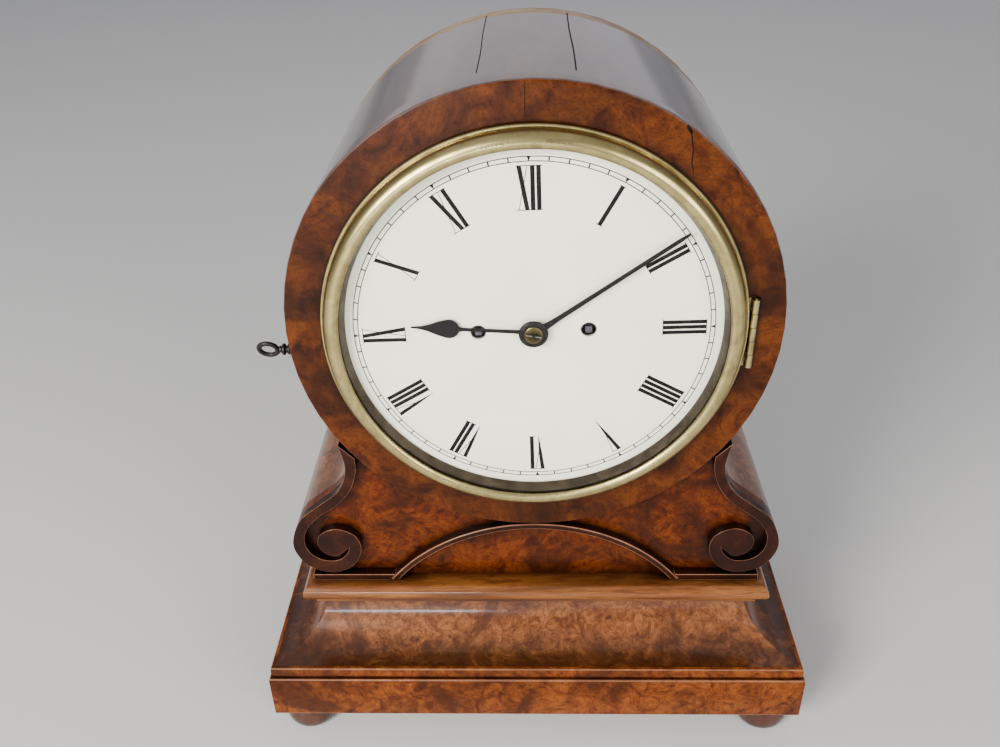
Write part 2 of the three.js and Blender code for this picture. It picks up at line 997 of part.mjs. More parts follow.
function key() {
  const bowCentre = -keyReach + keyBowLength / 2;
  const rim = new THREE.EllipseCurve(
    0,
    0,
    keyBowLength / 2 - keyBowWire / 2,
    keyBowHeight / 2 - keyBowWire / 2,
  );
  const rings = 16;
  const sides = 6;
  const loops = [];
  for (let i = 0; i < rings; i++) {
    const t = i / rings;
    const p = rim.getPoint(t);
    const n = new THREE.Vector2(p.x, p.y).normalize();
    const loop = [];
    for (let k = 0; k < sides; k++) {
      const a = (k / sides) * 2 * Math.PI;
      const out = (keyBowWire / 2) * Math.cos(a);
      loop.push([
        p.x + n.x * out,
        (keyBowWire / 2) * 0.8 * Math.sin(a),
        p.y + n.y * out,
      ]);
    }
    loops.push(loop);
  }
  const index = [];
  for (let i = 0; i < rings; i++)
    for (let k = 0; k < sides; k++) {
      const a = i * sides + k;
      const b = i * sides + ((k + 1) % sides);
      const c = ((i + 1) % rings) * sides + ((k + 1) % sides);
      const d = ((i + 1) % rings) * sides + k;
      index.push(a, b, c, a, c, d);
    }
  const bow = new THREE.BufferGeometry();
  bow.setAttribute(
    "position",
    new THREE.Float32BufferAttribute(loops.flat(2), 3),
  );
  bow.setIndex(index);
  if (toSolid(bow).volume() < 0) bow.setIndex(reversed(index));
  bow.rotateX(keyBowTurn).translate(bowCentre, keyDepth, -keyDrop);
  const shaftOut = -keyReach + keyBowLength - keyBowWire / 2;
  const shaft = rodX(
    keyShaftRadius,
    shaftOut,
    caseInner - 2.6,
    keyDepth,
    -keyDrop,
  );
  const collar = rodX(
    keyShaftRadius + 1.1,
    shaftOut + 3,
    shaftOut + 5.4,
    keyDepth,
    -keyDrop,
  );
  const bit = box(
    [boltX - 1.4, keyDepth - bitThickness / 2, -keyDrop - bitReach],
    [boltX + boltThickness + 0.2, keyDepth + bitThickness / 2, -keyDrop],
  );
  return join(bow, shaft, collar, bit);
}
piece("key", key(), blackSteel);

// ---- wheels --------------------------------------------------------------------------------------
// A toothed outline; one tooth points along the angle `phase`, measured from +X towards +Z.
function toothed(teeth, module, phase, saw = 0) {
  const pitch = (2 * Math.PI) / teeth;
  const radius = (teeth * module) / 2;
  const tip = radius + 0.7 * module;
  const root = radius - module;
  const points = [];
  for (let i = 0; i < teeth; i++) {
    const a = phase + i * pitch;
    points.push([tip * Math.cos(a), tip * Math.sin(a)]);
    const b = a + pitch * (0.5 + saw);
    points.push([root * Math.cos(b), root * Math.sin(b)]);
  }
  return points;
}

// Crossings: the openings between a wheel's arms.
function crossings(shape, inner, outer, arms, armWidth) {
  for (let i = 0; i < arms; i++) {
    const start = (i / arms) * 2 * Math.PI;
    const end = ((i + 1) / arms) * 2 * Math.PI;
    const path = new THREE.Path();
    const outPad = armWidth / 2 / outer;
    const inPad = armWidth / 2 / inner;
    path.absarc(0, 0, outer, start + outPad, end - outPad);
    path.absarc(0, 0, inner, end - inPad, start + inPad, true);
    shape.holes.push(path);
  }
}

function wheel(teeth, module, phase, front, arms = 4) {
  const shape = outline(toothed(teeth, module, phase));
  const rim = (teeth * module) / 2 - 2.2 * module - 1.2;
  if (arms) crossings(shape, rim * 0.36, rim, arms, 2);
  return plate(shape, front, front + wheelThickness, 2);
}

const pinion = (leaves, module, phase, front, back) =>
  plate(outline(toothed(leaves, module, phase)), front, back);

// The phase of a wheel in mesh with another, whose centre lies along the angle `line`.
function meshPhase(teeth, driverTeeth, driverPhase, line) {
  const share = (line - driverPhase) / ((2 * Math.PI) / driverTeeth);
  return line + Math.PI - ((2 * Math.PI) / teeth) * (0.5 - share);
}

// Places of the other arbors, against the dial centre.
const up = Math.PI / 2;
const fuseeX = centreDistance(greatTeeth, centrePinionLeaves, greatModule);
const pinWheelLine = deg(102);
const pinWheelReach = centreDistance(
  strikeGreatTeeth,
  centrePinionLeaves,
  greatModule,
);
const pinWheelX = -fuseeX + pinWheelReach * Math.cos(pinWheelLine);
const pinWheelZ = pinWheelReach * Math.sin(pinWheelLine);
const minuteWheelZ = -cannonTeeth * motionModule;
const hourModule = (-2 * minuteWheelZ) / (hourPinionLeaves + hourTeeth);

// Depths of the wheels, behind the ring's face.
const plateFront = plateSetback;
const plateInner = plateSetback + plateThickness;
const earlyWheelY = plateInner + 1.5; // centre wheel and pin wheel
const fuseeFrontY = plateInner + 5.5;
const greatWheelY = fuseeFrontY + fuseeLength + 4;
const thirdWheelY = plateInner + 27.5;
const escapeWheelY = backPlateY - 4;
const cannonWheelY = plateFront - 3;
const hourWheelY = plateFront - 7;

// ---- plates --------------------------------------------------------------------------------------
const pillarX = plateHalfWidth - pillarInset;
const pillarSpots = [
  [-pillarX, plateTop - pillarTopInset],
  [pillarX, plateTop - pillarTopInset],
  [-pillarX, plateBottom + pillarInset],
  [pillarX, plateBottom + pillarInset],
];
function movementPlate(front, holes) {
  const shape = outline([
    [-plateHalfWidth, plateBottom],
    [plateHalfWidth, plateBottom],
    [plateHalfWidth, plateTop],
    [-plateHalfWidth, plateTop],
  ]);
  for (const [radius, x, z] of holes) shape.holes.push(circleHole(radius, x, z));
  return plate(shape, front, front + plateThickness, 4);
}
const pivotHole = pivotRadius + runGap;
const sharedHoles = [
  [pivotHole, 0, thirdZ],
  [pivotHole, 0, escapeZ],
  [barrelPivot + runGap, -barrelX, barrelZ],
  [barrelPivot + runGap, barrelX, barrelZ],
  [pivotHole, pinWheelX, pinWheelZ],
];
piece(
  "movement_front_plate",
  movementPlate(plateFront, [
    ...sharedHoles,
    [arborRadius + runGap, 0, 0],
    [pivotHole, 0, palletZ],
    [pivotHole, hammerX, hammerZ],
    [fuseeArborRadius + runGap, -fuseeX, 0],
    [fuseeArborRadius + runGap, fuseeX, 0],
    [pivotHole, 0, minuteWheelZ],
  ]),
  brass,
  works,
);
piece(
  "movement_back_plate",
  join(
    movementPlate(backPlateY, [
      ...sharedHoles,
      [pivotHole, 0, 0],
      [arborRadius + 2, 0, palletZ],
      [arborRadius + runGap, hammerX, hammerZ],
      [fuseePivot + runGap, -fuseeX, 0],
      [fuseePivot + runGap, fuseeX, 0],
    ]),
    ...pillarSpots.map(([x, z]) =>
      rodY(pillarRadius, plateInner, backPlateY + 1, x, z, 10),
    ),
  ),
  brass,
  works,
);
piece(
  "seat_board",
  toGeometry(
    toSolid(
      box(
        [-drumBore, plateFront + 0.5, plateBottom - seatGap - seatBoardThickness],
        [drumBore, plateFront + seatBoardDepth, plateBottom - seatGap],
      ),
    ).intersect(
      toSolid(rodY(drumBore - seatGap, 0, drumDepth, 0, 0, rimSegments)),
    ),
  ),
  plainWood,
  works,
);

// ---- fusees and barrels --------------------------------------------------------------------------
function fusee(x, teeth, phase) {
  const cone = [[0, fuseeFrontY]];
  const points = 2 * fuseeTurns;
  for (let i = 0; i <= points; i++) {
    const t = i / points;
    const curve = fuseeSmall * Math.pow(fuseeLarge / fuseeSmall, t);
    cone.push([curve - (i % 2 ? 0.6 : 0), fuseeFrontY + t * fuseeLength]);
  }
  cone.push([fuseeLarge + 0.8, fuseeFrontY + fuseeLength + 0.4]);
  cone.push([fuseeLarge + 0.8, greatWheelY - 1]);
  cone.push([fuseeCapRadius, greatWheelY - 1]);
  cone.push([fuseeCapRadius, greatWheelY + wheelThickness + 1]);
  cone.push([0, greatWheelY + wheelThickness + 1]);
  const square = windingSquareHalf;
  return join(
    turned(cone, 14),
    wheel(teeth, greatModule, phase, greatWheelY, 0),
    rodY(fuseeArborRadius, plateFront - 2, fuseeFrontY + 1),
    box(
      [-square, dialSetback + 0.2, -square],
      [square, plateFront - 1, square],
    ),
    rodY(fuseePivot, greatWheelY, movementBack),
  ).translate(x, 0, 0);
}
const goingPhase = Math.PI;
piece("going_fusee", fusee(fuseeX, greatTeeth, goingPhase), brass, works);
piece("striking_fusee", fusee(-fuseeX, strikeGreatTeeth, 0), brass, works);

const barrelFrontY = plateInner + 3.5;
function barrel(x) {
  const back = barrelFrontY + barrelLength;
  return join(
    turned(
      [
        [0, barrelFrontY],
        [barrelRadius, barrelFrontY],
        [barrelRadius, back],
        [0, back],
      ],
      20,
    ),
    rodY(barrelPivot, plateFront, movementBack, 0, 0, 10),
  ).translate(x, 0, barrelZ);
}
piece("going_barrel", barrel(barrelX), brass, works);
piece("striking_barrel", barrel(-barrelX), brass, works);

// ---- going train ---------------------------------------------------------------------------------
const arborTip = -6.1; // front end of the centre arbor, in front of the ring's face
const pinY = arborTip + 0.6;
const pinRadius = 0.32;
const pinTurn = deg(12);
const centrePinionPhase = meshPhase(
  centrePinionLeaves,
  greatTeeth,
  goingPhase,
  Math.PI,
);
const centreArborFront = 0.9;
piece(
  "centre_wheel",
  cut(
    join(
      wheel(centreTeeth, centreModule, up, earlyWheelY),
      pinion(
        centrePinionLeaves,
        greatModule,
        centrePinionPhase,
        greatWheelY - 1,
        greatWheelY + wheelThickness + 1,
      ),
      rodY(arborRadius, plateInner + 0.3, backPlateY - 0.5, 0, 0, 12),
      rodY(centreArborFront, arborTip, plateInner + 1, 0, 0, 12),
      rodY(pivotRadius, backPlateY - 1, movementBack, 0, 0, 12),
    ),
    rodX(pinRadius + 0.1, -3, 3, pinY, 0, 10).rotateY(pinTurn),
  ),
  brass,
  works,
);

function trainArbor(x, z, parts) {
  return join(
    rodY(arborRadius, plateInner + 0.4, backPlateY - 0.4, x, z, 10),
    rodY(pivotRadius, plateFront, movementBack, x, z, 10),
    ...parts.map((part) => part.translate(x, 0, z)),
  );
}
const thirdPinionPhase = meshPhase(thirdPinionLeaves, centreTeeth, up, up);
piece(
  "third_wheel",
  trainArbor(0, thirdZ, [
    pinion(
      thirdPinionLeaves,
      centreModule,
      thirdPinionPhase,
      earlyWheelY - 0.8,
      earlyWheelY + wheelThickness + 1,
    ),
    wheel(thirdTeeth, thirdModule, up, thirdWheelY, 0),
  ]),
  brass,
  works,
);

function escapeDisc() {
  const root = escapeRadius - 2.6;
  const points = [];
  const pitch = (2 * Math.PI) / escapeTeeth;
  for (let i = 0; i < escapeTeeth; i++) {
    const a = i * pitch;
    points.push([escapeRadius * Math.cos(a), escapeRadius * Math.sin(a)]);
    points.push([
      root * Math.cos(a + pitch * 0.16),
      root * Math.sin(a + pitch * 0.16),
    ]);
    points.push([
      root * Math.cos(a + pitch * 0.8),
      root * Math.sin(a + pitch * 0.8),
    ]);
  }
  const shape = outline(points);
  crossings(shape, 3, root - 1.4, 4, 1.4);
  return plate(shape, escapeWheelY, escapeWheelY + 1.2, 2);
}
piece(
  "escape_wheel",
  trainArbor(0, escapeZ, [
    pinion(
      escapePinionLeaves,
      thirdModule,
      meshPhase(escapePinionLeaves, thirdTeeth, up, up),
      thirdWheelY - 0.8,
      thirdWheelY + wheelThickness + 1,
    ),
    escapeDisc(),
  ]),
  brass,
  works,
);

// Cannon pinion: carries the minute hand and drives the minute wheel.
const cannonBore = centreArborFront + runGap;
const cannonOuter = 2.1;
const hourPipeBore = cannonOuter + runGap;
const hourPipeOuter = 3.3;
const hourHandBack = dialSetback - 1.3;
const hourHandFront = hourHandBack - handThickness;
const minuteHandBack = hourHandFront - 1.1;
const minuteHandFront = minuteHandBack - handThickness;
const cannonTip = minuteHandFront - 0.3;
piece(
  "cannon_pinion",
  cut(
    join(
      rodY(cannonOuter, cannonTip, cannonWheelY + wheelThickness, 0, 0, 14),
      wheel(cannonTeeth, motionModule, -up, cannonWheelY, 0),
    ),
    rodY(cannonBore, -20, 40, 0, 0, 14),
  ),
  steel,
  works,
);
const minutePhase = meshPhase(cannonTeeth, cannonTeeth, -up, -up);
piece(
  "minute_wheel",
  join(
    wheel(cannonTeeth, motionModule, minutePhase, cannonWheelY, 0),
    pinion(
      hourPinionLeaves,
      hourModule,
      up,
      hourWheelY - 1,
      cannonWheelY + 0.2,
    ),
    rodY(pivotRadius, hourWheelY - 2.5, plateInner, 0, 0, 10),
  ).translate(0, 0, minuteWheelZ),
  brass,
  works,
);
piece(
  "hour_wheel",
  cut(
    join(
      wheel(
        hourTeeth,
        hourModule,
        meshPhase(hourTeeth, hourPinionLeaves, up, up),
        hourWheelY,
        0,
      ),
      rodY(hourPipeOuter, hourHandFront - 0.2, hourWheelY + 1, 0, 0, 16),
    ),
    rodY(hourPipeBore, -20, 40, 0, 0, 16),
  ),
  brass,
  works,
);

// ---- escapement and pendulum ---------------------------------------------------------------------
const cockY = movementBack + cockStandoff;
const crutchY = movementBack + 2.5;
function palletsAndCrutch() {
  const reach = escapeRadius + 1.1; // nib faces stay outside the wheel's teeth at full swing
  const arm = (side) => {
    const end = [side * (reach + 1.6) * Math.SQRT1_2, escapeZ + (reach + 1.6) * Math.SQRT1_2];
    const across = 1.1;
    const shape = outline(
      side > 0
        ? [
            [0, palletZ + 2.4],
            [0, palletZ - 1.2],
            [end[0] - across, end[1] + across],
            [end[0] - 1.1, end[1] - 1.1],
            [end[0] + 1.4, end[1] - 2.2],
            [end[0] + 2.4, end[1] + 1.6],
          ].reverse()
        : [
            [0, palletZ + 2.4],
            [0, palletZ - 1.2],
            [end[0] + across, end[1] + across],
            [end[0] + 1.1, end[1] - 1.1],
            [end[0] - 1.4, end[1] - 2.2],
            [end[0] - 2.4, end[1] + 1.6],
          ],
    );
    return plate(shape, escapeWheelY - 0.6, escapeWheelY + 1.8);
  };
  const forkZ = palletZ - crutchLength;
  const tine = pendulumRodRadius + runGap;
  return join(
    rodY(arborRadius, plateInner + 0.4, crutchY + 2, 0, palletZ, 10),
    rodY(pivotRadius, plateFront, cockY + 2, 0, palletZ, 10),
    rodY(2.6, escapeWheelY - 1, escapeWheelY + 2.2, 0, palletZ, 12),
    arm(1),
    arm(-1),
    box([-1, crutchY, forkZ - 1], [1, crutchY + 1.4, palletZ + 1]),
    box(
      [-tine - 1, crutchY, forkZ - 1.2],
      [tine + 1, crutchY + 1.4, forkZ + 1.2],
    ),
    box(
      [tine, crutchY, forkZ - 1.2],
      [tine + 1, pendulumY + 1.5, forkZ + 1.2],
    ),
    box(
      [-tine - 1, crutchY, forkZ - 1.2],
      [-tine, pendulumY + 1.5, forkZ + 1.2],
    ),
  );
}
// The pallets hang from the leaning movement, but their crutch stands plumb with the pendulum.
const suspensionX = -palletZ * Math.sin(lean);
const suspensionZ = palletZ * Math.cos(lean);
const plumb = new THREE.Group();
plumb.position.set(suspensionX, 0, suspensionZ);
head.add(plumb);
piece(
  "pallets_and_crutch",
  palletsAndCrutch().translate(0, 0, -palletZ),
  steel,
  plumb,
);
function backCock() {
  const low = palletZ - cockHalfHeight;
  const high = palletZ + cockHalfHeight;
  const legs = [-cockHalfWidth, cockHalfWidth - 6].map((x) =>
    box([x, movementBack, low], [x + 6, cockY + 1, high]),
  );
  return cut(
    join(
      box([-cockHalfWidth, cockY, low], [cockHalfWidth, cockY + cockThickness, high]),
      ...legs,
      box([-3, cockY + 1, palletZ + 1.8], [3, pendulumY + 3, high]),
    ),
    rodY(pivotHole, cockY - 1, cockY + cockThickness + 1, 0, palletZ, 12),
  );
}
piece("back_cock", backCock(), brass, works);
function pendulum() {
  const bob = turned(
    [
      [0, -bobThickness / 2],
      [bobRadius * 0.5, -bobThickness * 0.42],
      [bobRadius * 0.85, -bobThickness * 0.2],
      [bobRadius, 0],
      [bobRadius * 0.85, bobThickness * 0.2],
      [bobRadius * 0.5, bobThickness * 0.42],
      [0, bobThickness / 2],
    ],
    20,
  ).translate(0, 0, -pendulumLength);
  const nutTop = -pendulumLength - bobRadius - 1;
  return join(
    rodZ(pendulumRodRadius, -rodEnd, -8, 0, 0, 10),
    box([-2.2, -1.6, -11], [2.2, 1.6, -6]),
    box([-2, -0.25, -8], [2, 0.25, 0.2]),
    box([-2.6, -1.6, -0.6], [2.6, 1.6, 1.4]),
    bob,
    rodZ(3.6, nutTop - 3.6, nutTop + 1.2, 0, 0, 14),
  ).translate(0, pendulumY, 0);
}
piece("pendulum", pendulum(), brass, plumb);

// ---- striking work -------------------------------------------------------------------------------
const pinCircle = 10.5;
const liftingPins = 8;
const strikePins = [];
for (let i = 0; i < liftingPins; i++) {
  const a = (i / liftingPins) * 2 * Math.PI;
  strikePins.push(
    rodY(
      0.6,
      earlyWheelY + 0.5,
      earlyWheelY + wheelThickness + 2,
      pinCircle * Math.cos(a),
      pinCircle * Math.sin(a),
      5,
    ),
  );
}
piece(
  "pin_wheel",
  trainArbor(pinWheelX, pinWheelZ, [
    wheel(pinWheelTeeth, pinWheelModule, 0, earlyWheelY, 0),
    pinion(
      centrePinionLeaves,
      greatModule,
      meshPhase(centrePinionLeaves, strikeGreatTeeth, 0, pinWheelLine),
      greatWheelY - 1,
      greatWheelY + wheelThickness + 1,
    ),
    ...strikePins,
  ]),
  brass,
  works,
);

const bellY = backPlateY - 6;
function hammer() {
  const headZ = bellRim + 3;
  const headY = movementBack + 2.2;
  const offset = headY - bellY;
  const bellEdge = -Math.sqrt(bellRadius ** 2 - offset ** 2);
  const headEnd = bellEdge - 2.8;
  const armX = headEnd - hammerHeadLength * 0.55;
  const pinReach = Math.hypot(pinWheelX - hammerX, pinWheelZ - hammerZ);
  const tail = pinReach - pinCircle - 1.6;
  const angle = Math.atan2(pinWheelZ - hammerZ, pinWheelX - hammerX);
  const tailY = earlyWheelY + wheelThickness + 0.3;
  const tailBar = new THREE.BoxGeometry(tail, 1.6, 2)
    .translate(tail / 2, tailY + 0.8, 0)
    .rotateY(-angle)
    .translate(hammerX, 0, hammerZ);
  const rise = headZ - hammerZ;
  const run = armX - hammerX;
  const armLength = Math.hypot(rise, run);
  const armBar = new THREE.BoxGeometry(2.2, 2, armLength)
    .translate(0, headY, armLength / 2)
    .rotateY(Math.atan2(run, rise))
    .translate(hammerX, 0, hammerZ);
  return join(
    rodY(arborRadius, plateInner + 0.4, headY + 1, hammerX, hammerZ, 10),
    rodY(pivotRadius, plateFront, plateInner + 1, hammerX, hammerZ, 10),
    tailBar,
    armBar,
    rodX(hammerHeadRadius, headEnd - hammerHeadLength, headEnd, headY, headZ, 16),
  );
}
piece("hammer", hammer(), steel, works);

function bell() {
  const steps = 4;
  const outer = [];
  const inner = [];
  for (let i = 0; i <= steps; i++) {
    const a = (i / steps) * (Math.PI / 2);
    outer.push([
      bellRadius * Math.pow(Math.cos(a), 0.75),
      bellRim + bellHeight * Math.sin(a),
    ]);
    inner.push([
      (bellRadius - bellWall) * Math.pow(Math.cos(a), 0.75),
      bellRim + (bellHeight - bellWall) * Math.sin(a),
    ]);
  }
  outer[steps][0] = 0;
  inner[steps][0] = 0;
  const profile = [...outer, ...inner.reverse()];
  profile.push(outer[0]);
  const shapePoints = profile.map(([r, z]) => new THREE.Vector2(r, z));
  return new THREE.LatheGeometry(shapePoints, 22)
    .rotateX(Math.PI / 2)
    .translate(0, bellY, 0);
}
const standPost = 2;
const bellShell = cut(
  bell(),
  rodZ(standPost + runGap, bellRim, bellRim + bellHeight + 5, 0, bellY, 14),
);
piece("bell", bellShell, brass, works);
const standFrom = bellStandX - bellStandHalfWidth;
const standTo = bellStandX + bellStandHalfWidth;
piece(
  "bell_stand",
  join(
    box(
      [standFrom, movementBack, plateTop - 16],
      [standTo, movementBack + 2.6, bellRim + 4],
    ),
    box(
      [-3, bellY - 3, bellRim + 2],
      [standTo, movementBack + 2.6, bellRim + 4.4],
    ),
    rodZ(standPost, bellRim + 3, bellRim + bellHeight + 2, 0, bellY, 12),
    rodZ(4, bellRim + 3, bellRim + bellHeight - bellWall - 2 * seatGap, 0, bellY, 12),
    rodZ(
      4,
      bellRim + bellHeight + seatGap,
      bellRim + bellHeight + 3,
      0,
      bellY,
      6,
    ),
  ),
  steel,
  works,
);

// ---- dial and hands ------------------------------------------------------------------------------
const dialBack = dialSetback + dialThickness;
const dialFootSpots = [
  [-dialFootX, dialFootZ],
  [dialFootX, dialFootZ],
  [-dialFootX, -dialFootZ],
  [dialFootX, -dialFootZ],
];
function dial() {
  const hole = (radius, x, segments = 24) =>
    rodY(radius, dialSetback - 1, dialBack + 1, x, 0, segments);
  const disc = rodY(dialRadius, dialSetback, dialBack, 0, 0, rimSegments);
  const feet = dialFootSpots.map(([x, z]) =>
    rodY(dialFootRadius, dialBack - 0.5, plateFront, x, z, 8),
  );
  return cut(
    join(disc, ...feet),
    hole(dialCentreHoleRadius, 0, 12),
    hole(windingHoleRadius, -fuseeX),
    hole(windingHoleRadius, fuseeX),
  );
}
piece("dial", dial(), enamel, works);

const minuteTurn = (minuteShown / 60) * 2 * Math.PI;
const hourTurn = ((hourShown + minuteShown / 60) / 12) * 2 * Math.PI;
function hourHand() {
  const bladeStart = hourHandLength - hourBladeLength;
  const shank = hourShankHalfWidth;
  const half = [
    [shank + 0.4, hourPipeOuter + 1.7],
    [shank, bladeStart - 3],
    [shank + 0.3, bladeStart - 1],
    [hourBladeHalfWidth * 0.85, bladeStart + 4],
    [hourBladeHalfWidth, bladeStart + 8],
    [hourBladeHalfWidth * 0.85, bladeStart + 12],
    [shank + 0.2, bladeStart + 20],
    [shank / 2, hourHandLength],
  ];
  const shape = outline([...half, ...mirrored(half)]);
  return cut(
    join(
      plate(shape, hourHandFront, hourHandBack),
      rodY(hourBossRadius, hourHandFront, hourHandBack, 0, 0, 20),
    ),
    rodY(hourPipeOuter + seatGap, -20, 20, 0, 0, 16),
  ).rotateY(hourTurn);
}
function minuteHand() {
  const half = [
    [minuteHandBaseWidth / 2, minuteBossRadius / 2],
    [minuteHandTipWidth / 2, minuteHandLength - 4],
    [minuteHandTipWidth / 4, minuteHandLength],
  ];
  const shape = outline([...half, ...mirrored(half)]);
  return cut(
    join(
      plate(shape, minuteHandFront, minuteHandBack),
      turned(
        [
          [0, minuteHandBack],
          [minuteBossRadius, minuteHandBack],
          [minuteBossRadius - 0.2, minuteHandFront - 0.1],
          [minuteBossRadius * 0.75, minuteHandFront - bossRise],
          [0, minuteHandFront - bossRise],
        ].reverse(),
        24,
      ),
    ),
    rodY(cannonOuter + seatGap, -20, 20, 0, 0, 14),
  ).rotateY(minuteTurn);
}
piece("hour_hand", hourHand(), blackSteel, works);
piece("minute_hand", minuteHand(), blackSteel, works);
const colletBack = minuteHandFront - bossRise - seatGap / 3;
piece(
  "hand_collet",
  cut(
    turned(
      [
        [0, pinY + pinRadius + 0.1],
        [colletRadius * 0.6, pinY + pinRadius + 0.1],
        [colletRadius, colletBack - 0.25],
        [colletRadius, colletBack],
        [0, colletBack],
      ],
      20,
    ),
    rodY(centreArborFront + runGap / 2, -20, 20, 0, 0, 12),
  ),
  brass,
  works,
);
piece(
  "taper_pin",
  rodX(pinRadius, -4, 4, pinY, 0, 8).rotateY(pinTurn),
  steel,
  works,
);

export default group;
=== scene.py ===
import bpy
import math
from mathutils import Matrix, Vector


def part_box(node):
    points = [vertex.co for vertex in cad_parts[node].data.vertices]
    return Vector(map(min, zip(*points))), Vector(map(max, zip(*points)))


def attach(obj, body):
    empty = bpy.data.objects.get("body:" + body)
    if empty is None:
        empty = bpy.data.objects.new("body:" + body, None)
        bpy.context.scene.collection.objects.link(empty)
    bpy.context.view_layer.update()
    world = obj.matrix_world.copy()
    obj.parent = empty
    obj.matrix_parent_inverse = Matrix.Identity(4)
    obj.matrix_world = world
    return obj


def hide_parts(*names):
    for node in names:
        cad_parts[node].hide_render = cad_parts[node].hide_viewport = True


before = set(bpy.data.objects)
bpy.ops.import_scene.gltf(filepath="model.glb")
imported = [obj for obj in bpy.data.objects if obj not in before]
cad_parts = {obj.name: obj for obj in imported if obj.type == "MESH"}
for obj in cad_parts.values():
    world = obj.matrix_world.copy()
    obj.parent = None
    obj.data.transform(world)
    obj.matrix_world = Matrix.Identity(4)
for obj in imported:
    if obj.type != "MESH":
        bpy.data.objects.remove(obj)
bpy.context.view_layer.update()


# ---- feet ----
# Four turned bun feet, dark polished walnut, glued under the corners of the plinth.
# Pieces are measured in millimetres from the middle of the dial, which spot() turns into metres.
# Distances inside a material are in metres.
ring_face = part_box("drum_front_ring")[0].y
dial_height = (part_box("drum_shell")[0].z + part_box("drum_shell")[1].z) / 2


def spot(x, y, z):
    return Vector((x / 1000, ring_face + y / 1000, dial_height + z / 1000))


def link(tree, source, target):
    tree.links.new(source, target)


def ramp(tree, source, stops):
    made = tree.nodes.new("ShaderNodeValToRGB")
    link(tree, source, made.inputs["Fac"])
    while len(made.color_ramp.elements) < len(stops):
        made.color_ramp.elements.new(0.5)
    for element, (place, color) in zip(made.color_ramp.elements, stops):
        element.position = place
        element.color = (*color, 1)
    return made.outputs["Color"]


def noise(tree, vector, scale, detail=4.0, distortion=0.0, roughness=0.55):
    made = tree.nodes.new("ShaderNodeTexNoise")
    made.inputs["Scale"].default_value = scale
    made.inputs["Detail"].default_value = detail
    made.inputs["Distortion"].default_value = distortion
    made.inputs["Roughness"].default_value = roughness
    link(tree, vector, made.inputs["Vector"])
    return made.outputs["Fac"]


def mix(tree, share, first, second, way="MIX"):
    made = tree.nodes.new("ShaderNodeMix")
    made.data_type = "RGBA"
    made.blend_type = way
    for socket, value in (("Factor", share), ("A", first), ("B", second)):
        target = [s for s in made.inputs if s.name == socket and s.enabled][0]
        if isinstance(value, bpy.types.NodeSocket):
            link(tree, value, target)
        elif socket == "Factor":
            target.default_value = value
        else:
            target.default_value = (*value, 1)
    return [s for s in made.outputs if s.enabled][0]


def new_material(name):
    material = bpy.data.materials.new(name)
    material.use_nodes = True
    tree = material.node_tree
    return material, tree, tree.nodes["Principled BSDF"]


def placed(tree, stretch, turn=(0, 0, 0)):
    where = tree.nodes.new("ShaderNodeTexCoord")
    mapping = tree.nodes.new("ShaderNodeMapping")
    mapping.inputs["Scale"].default_value = stretch
    mapping.inputs["Rotation"].default_value = turn
    link(tree, where.outputs["Object"], mapping.inputs["Vector"])
    return mapping.outputs["Vector"]


# Darkens corners and recesses by ambient occlusion: grime, and painted shade where light is cut off.
def recess_soil_and_shade(tree, distance):
    made = tree.nodes.new("ShaderNodeAmbientOcclusion")
    made.inputs["Distance"].default_value = distance
    made.samples = 6
    return ramp(tree, made.outputs["AO"], [(0.35, (0, 0, 0)), (0.92, (1, 1, 1))])


# How densely each mark of the walnut figure repeats, and how ragged the top of the darker band low in the
# plinth hollow is.
figure_scale = 70
cloud_scale = 20
ring_scale = 26
ring_spacing = 0.03
knot_scale = 105
vein_scale = 95
darker_band_raggedness = 0.02


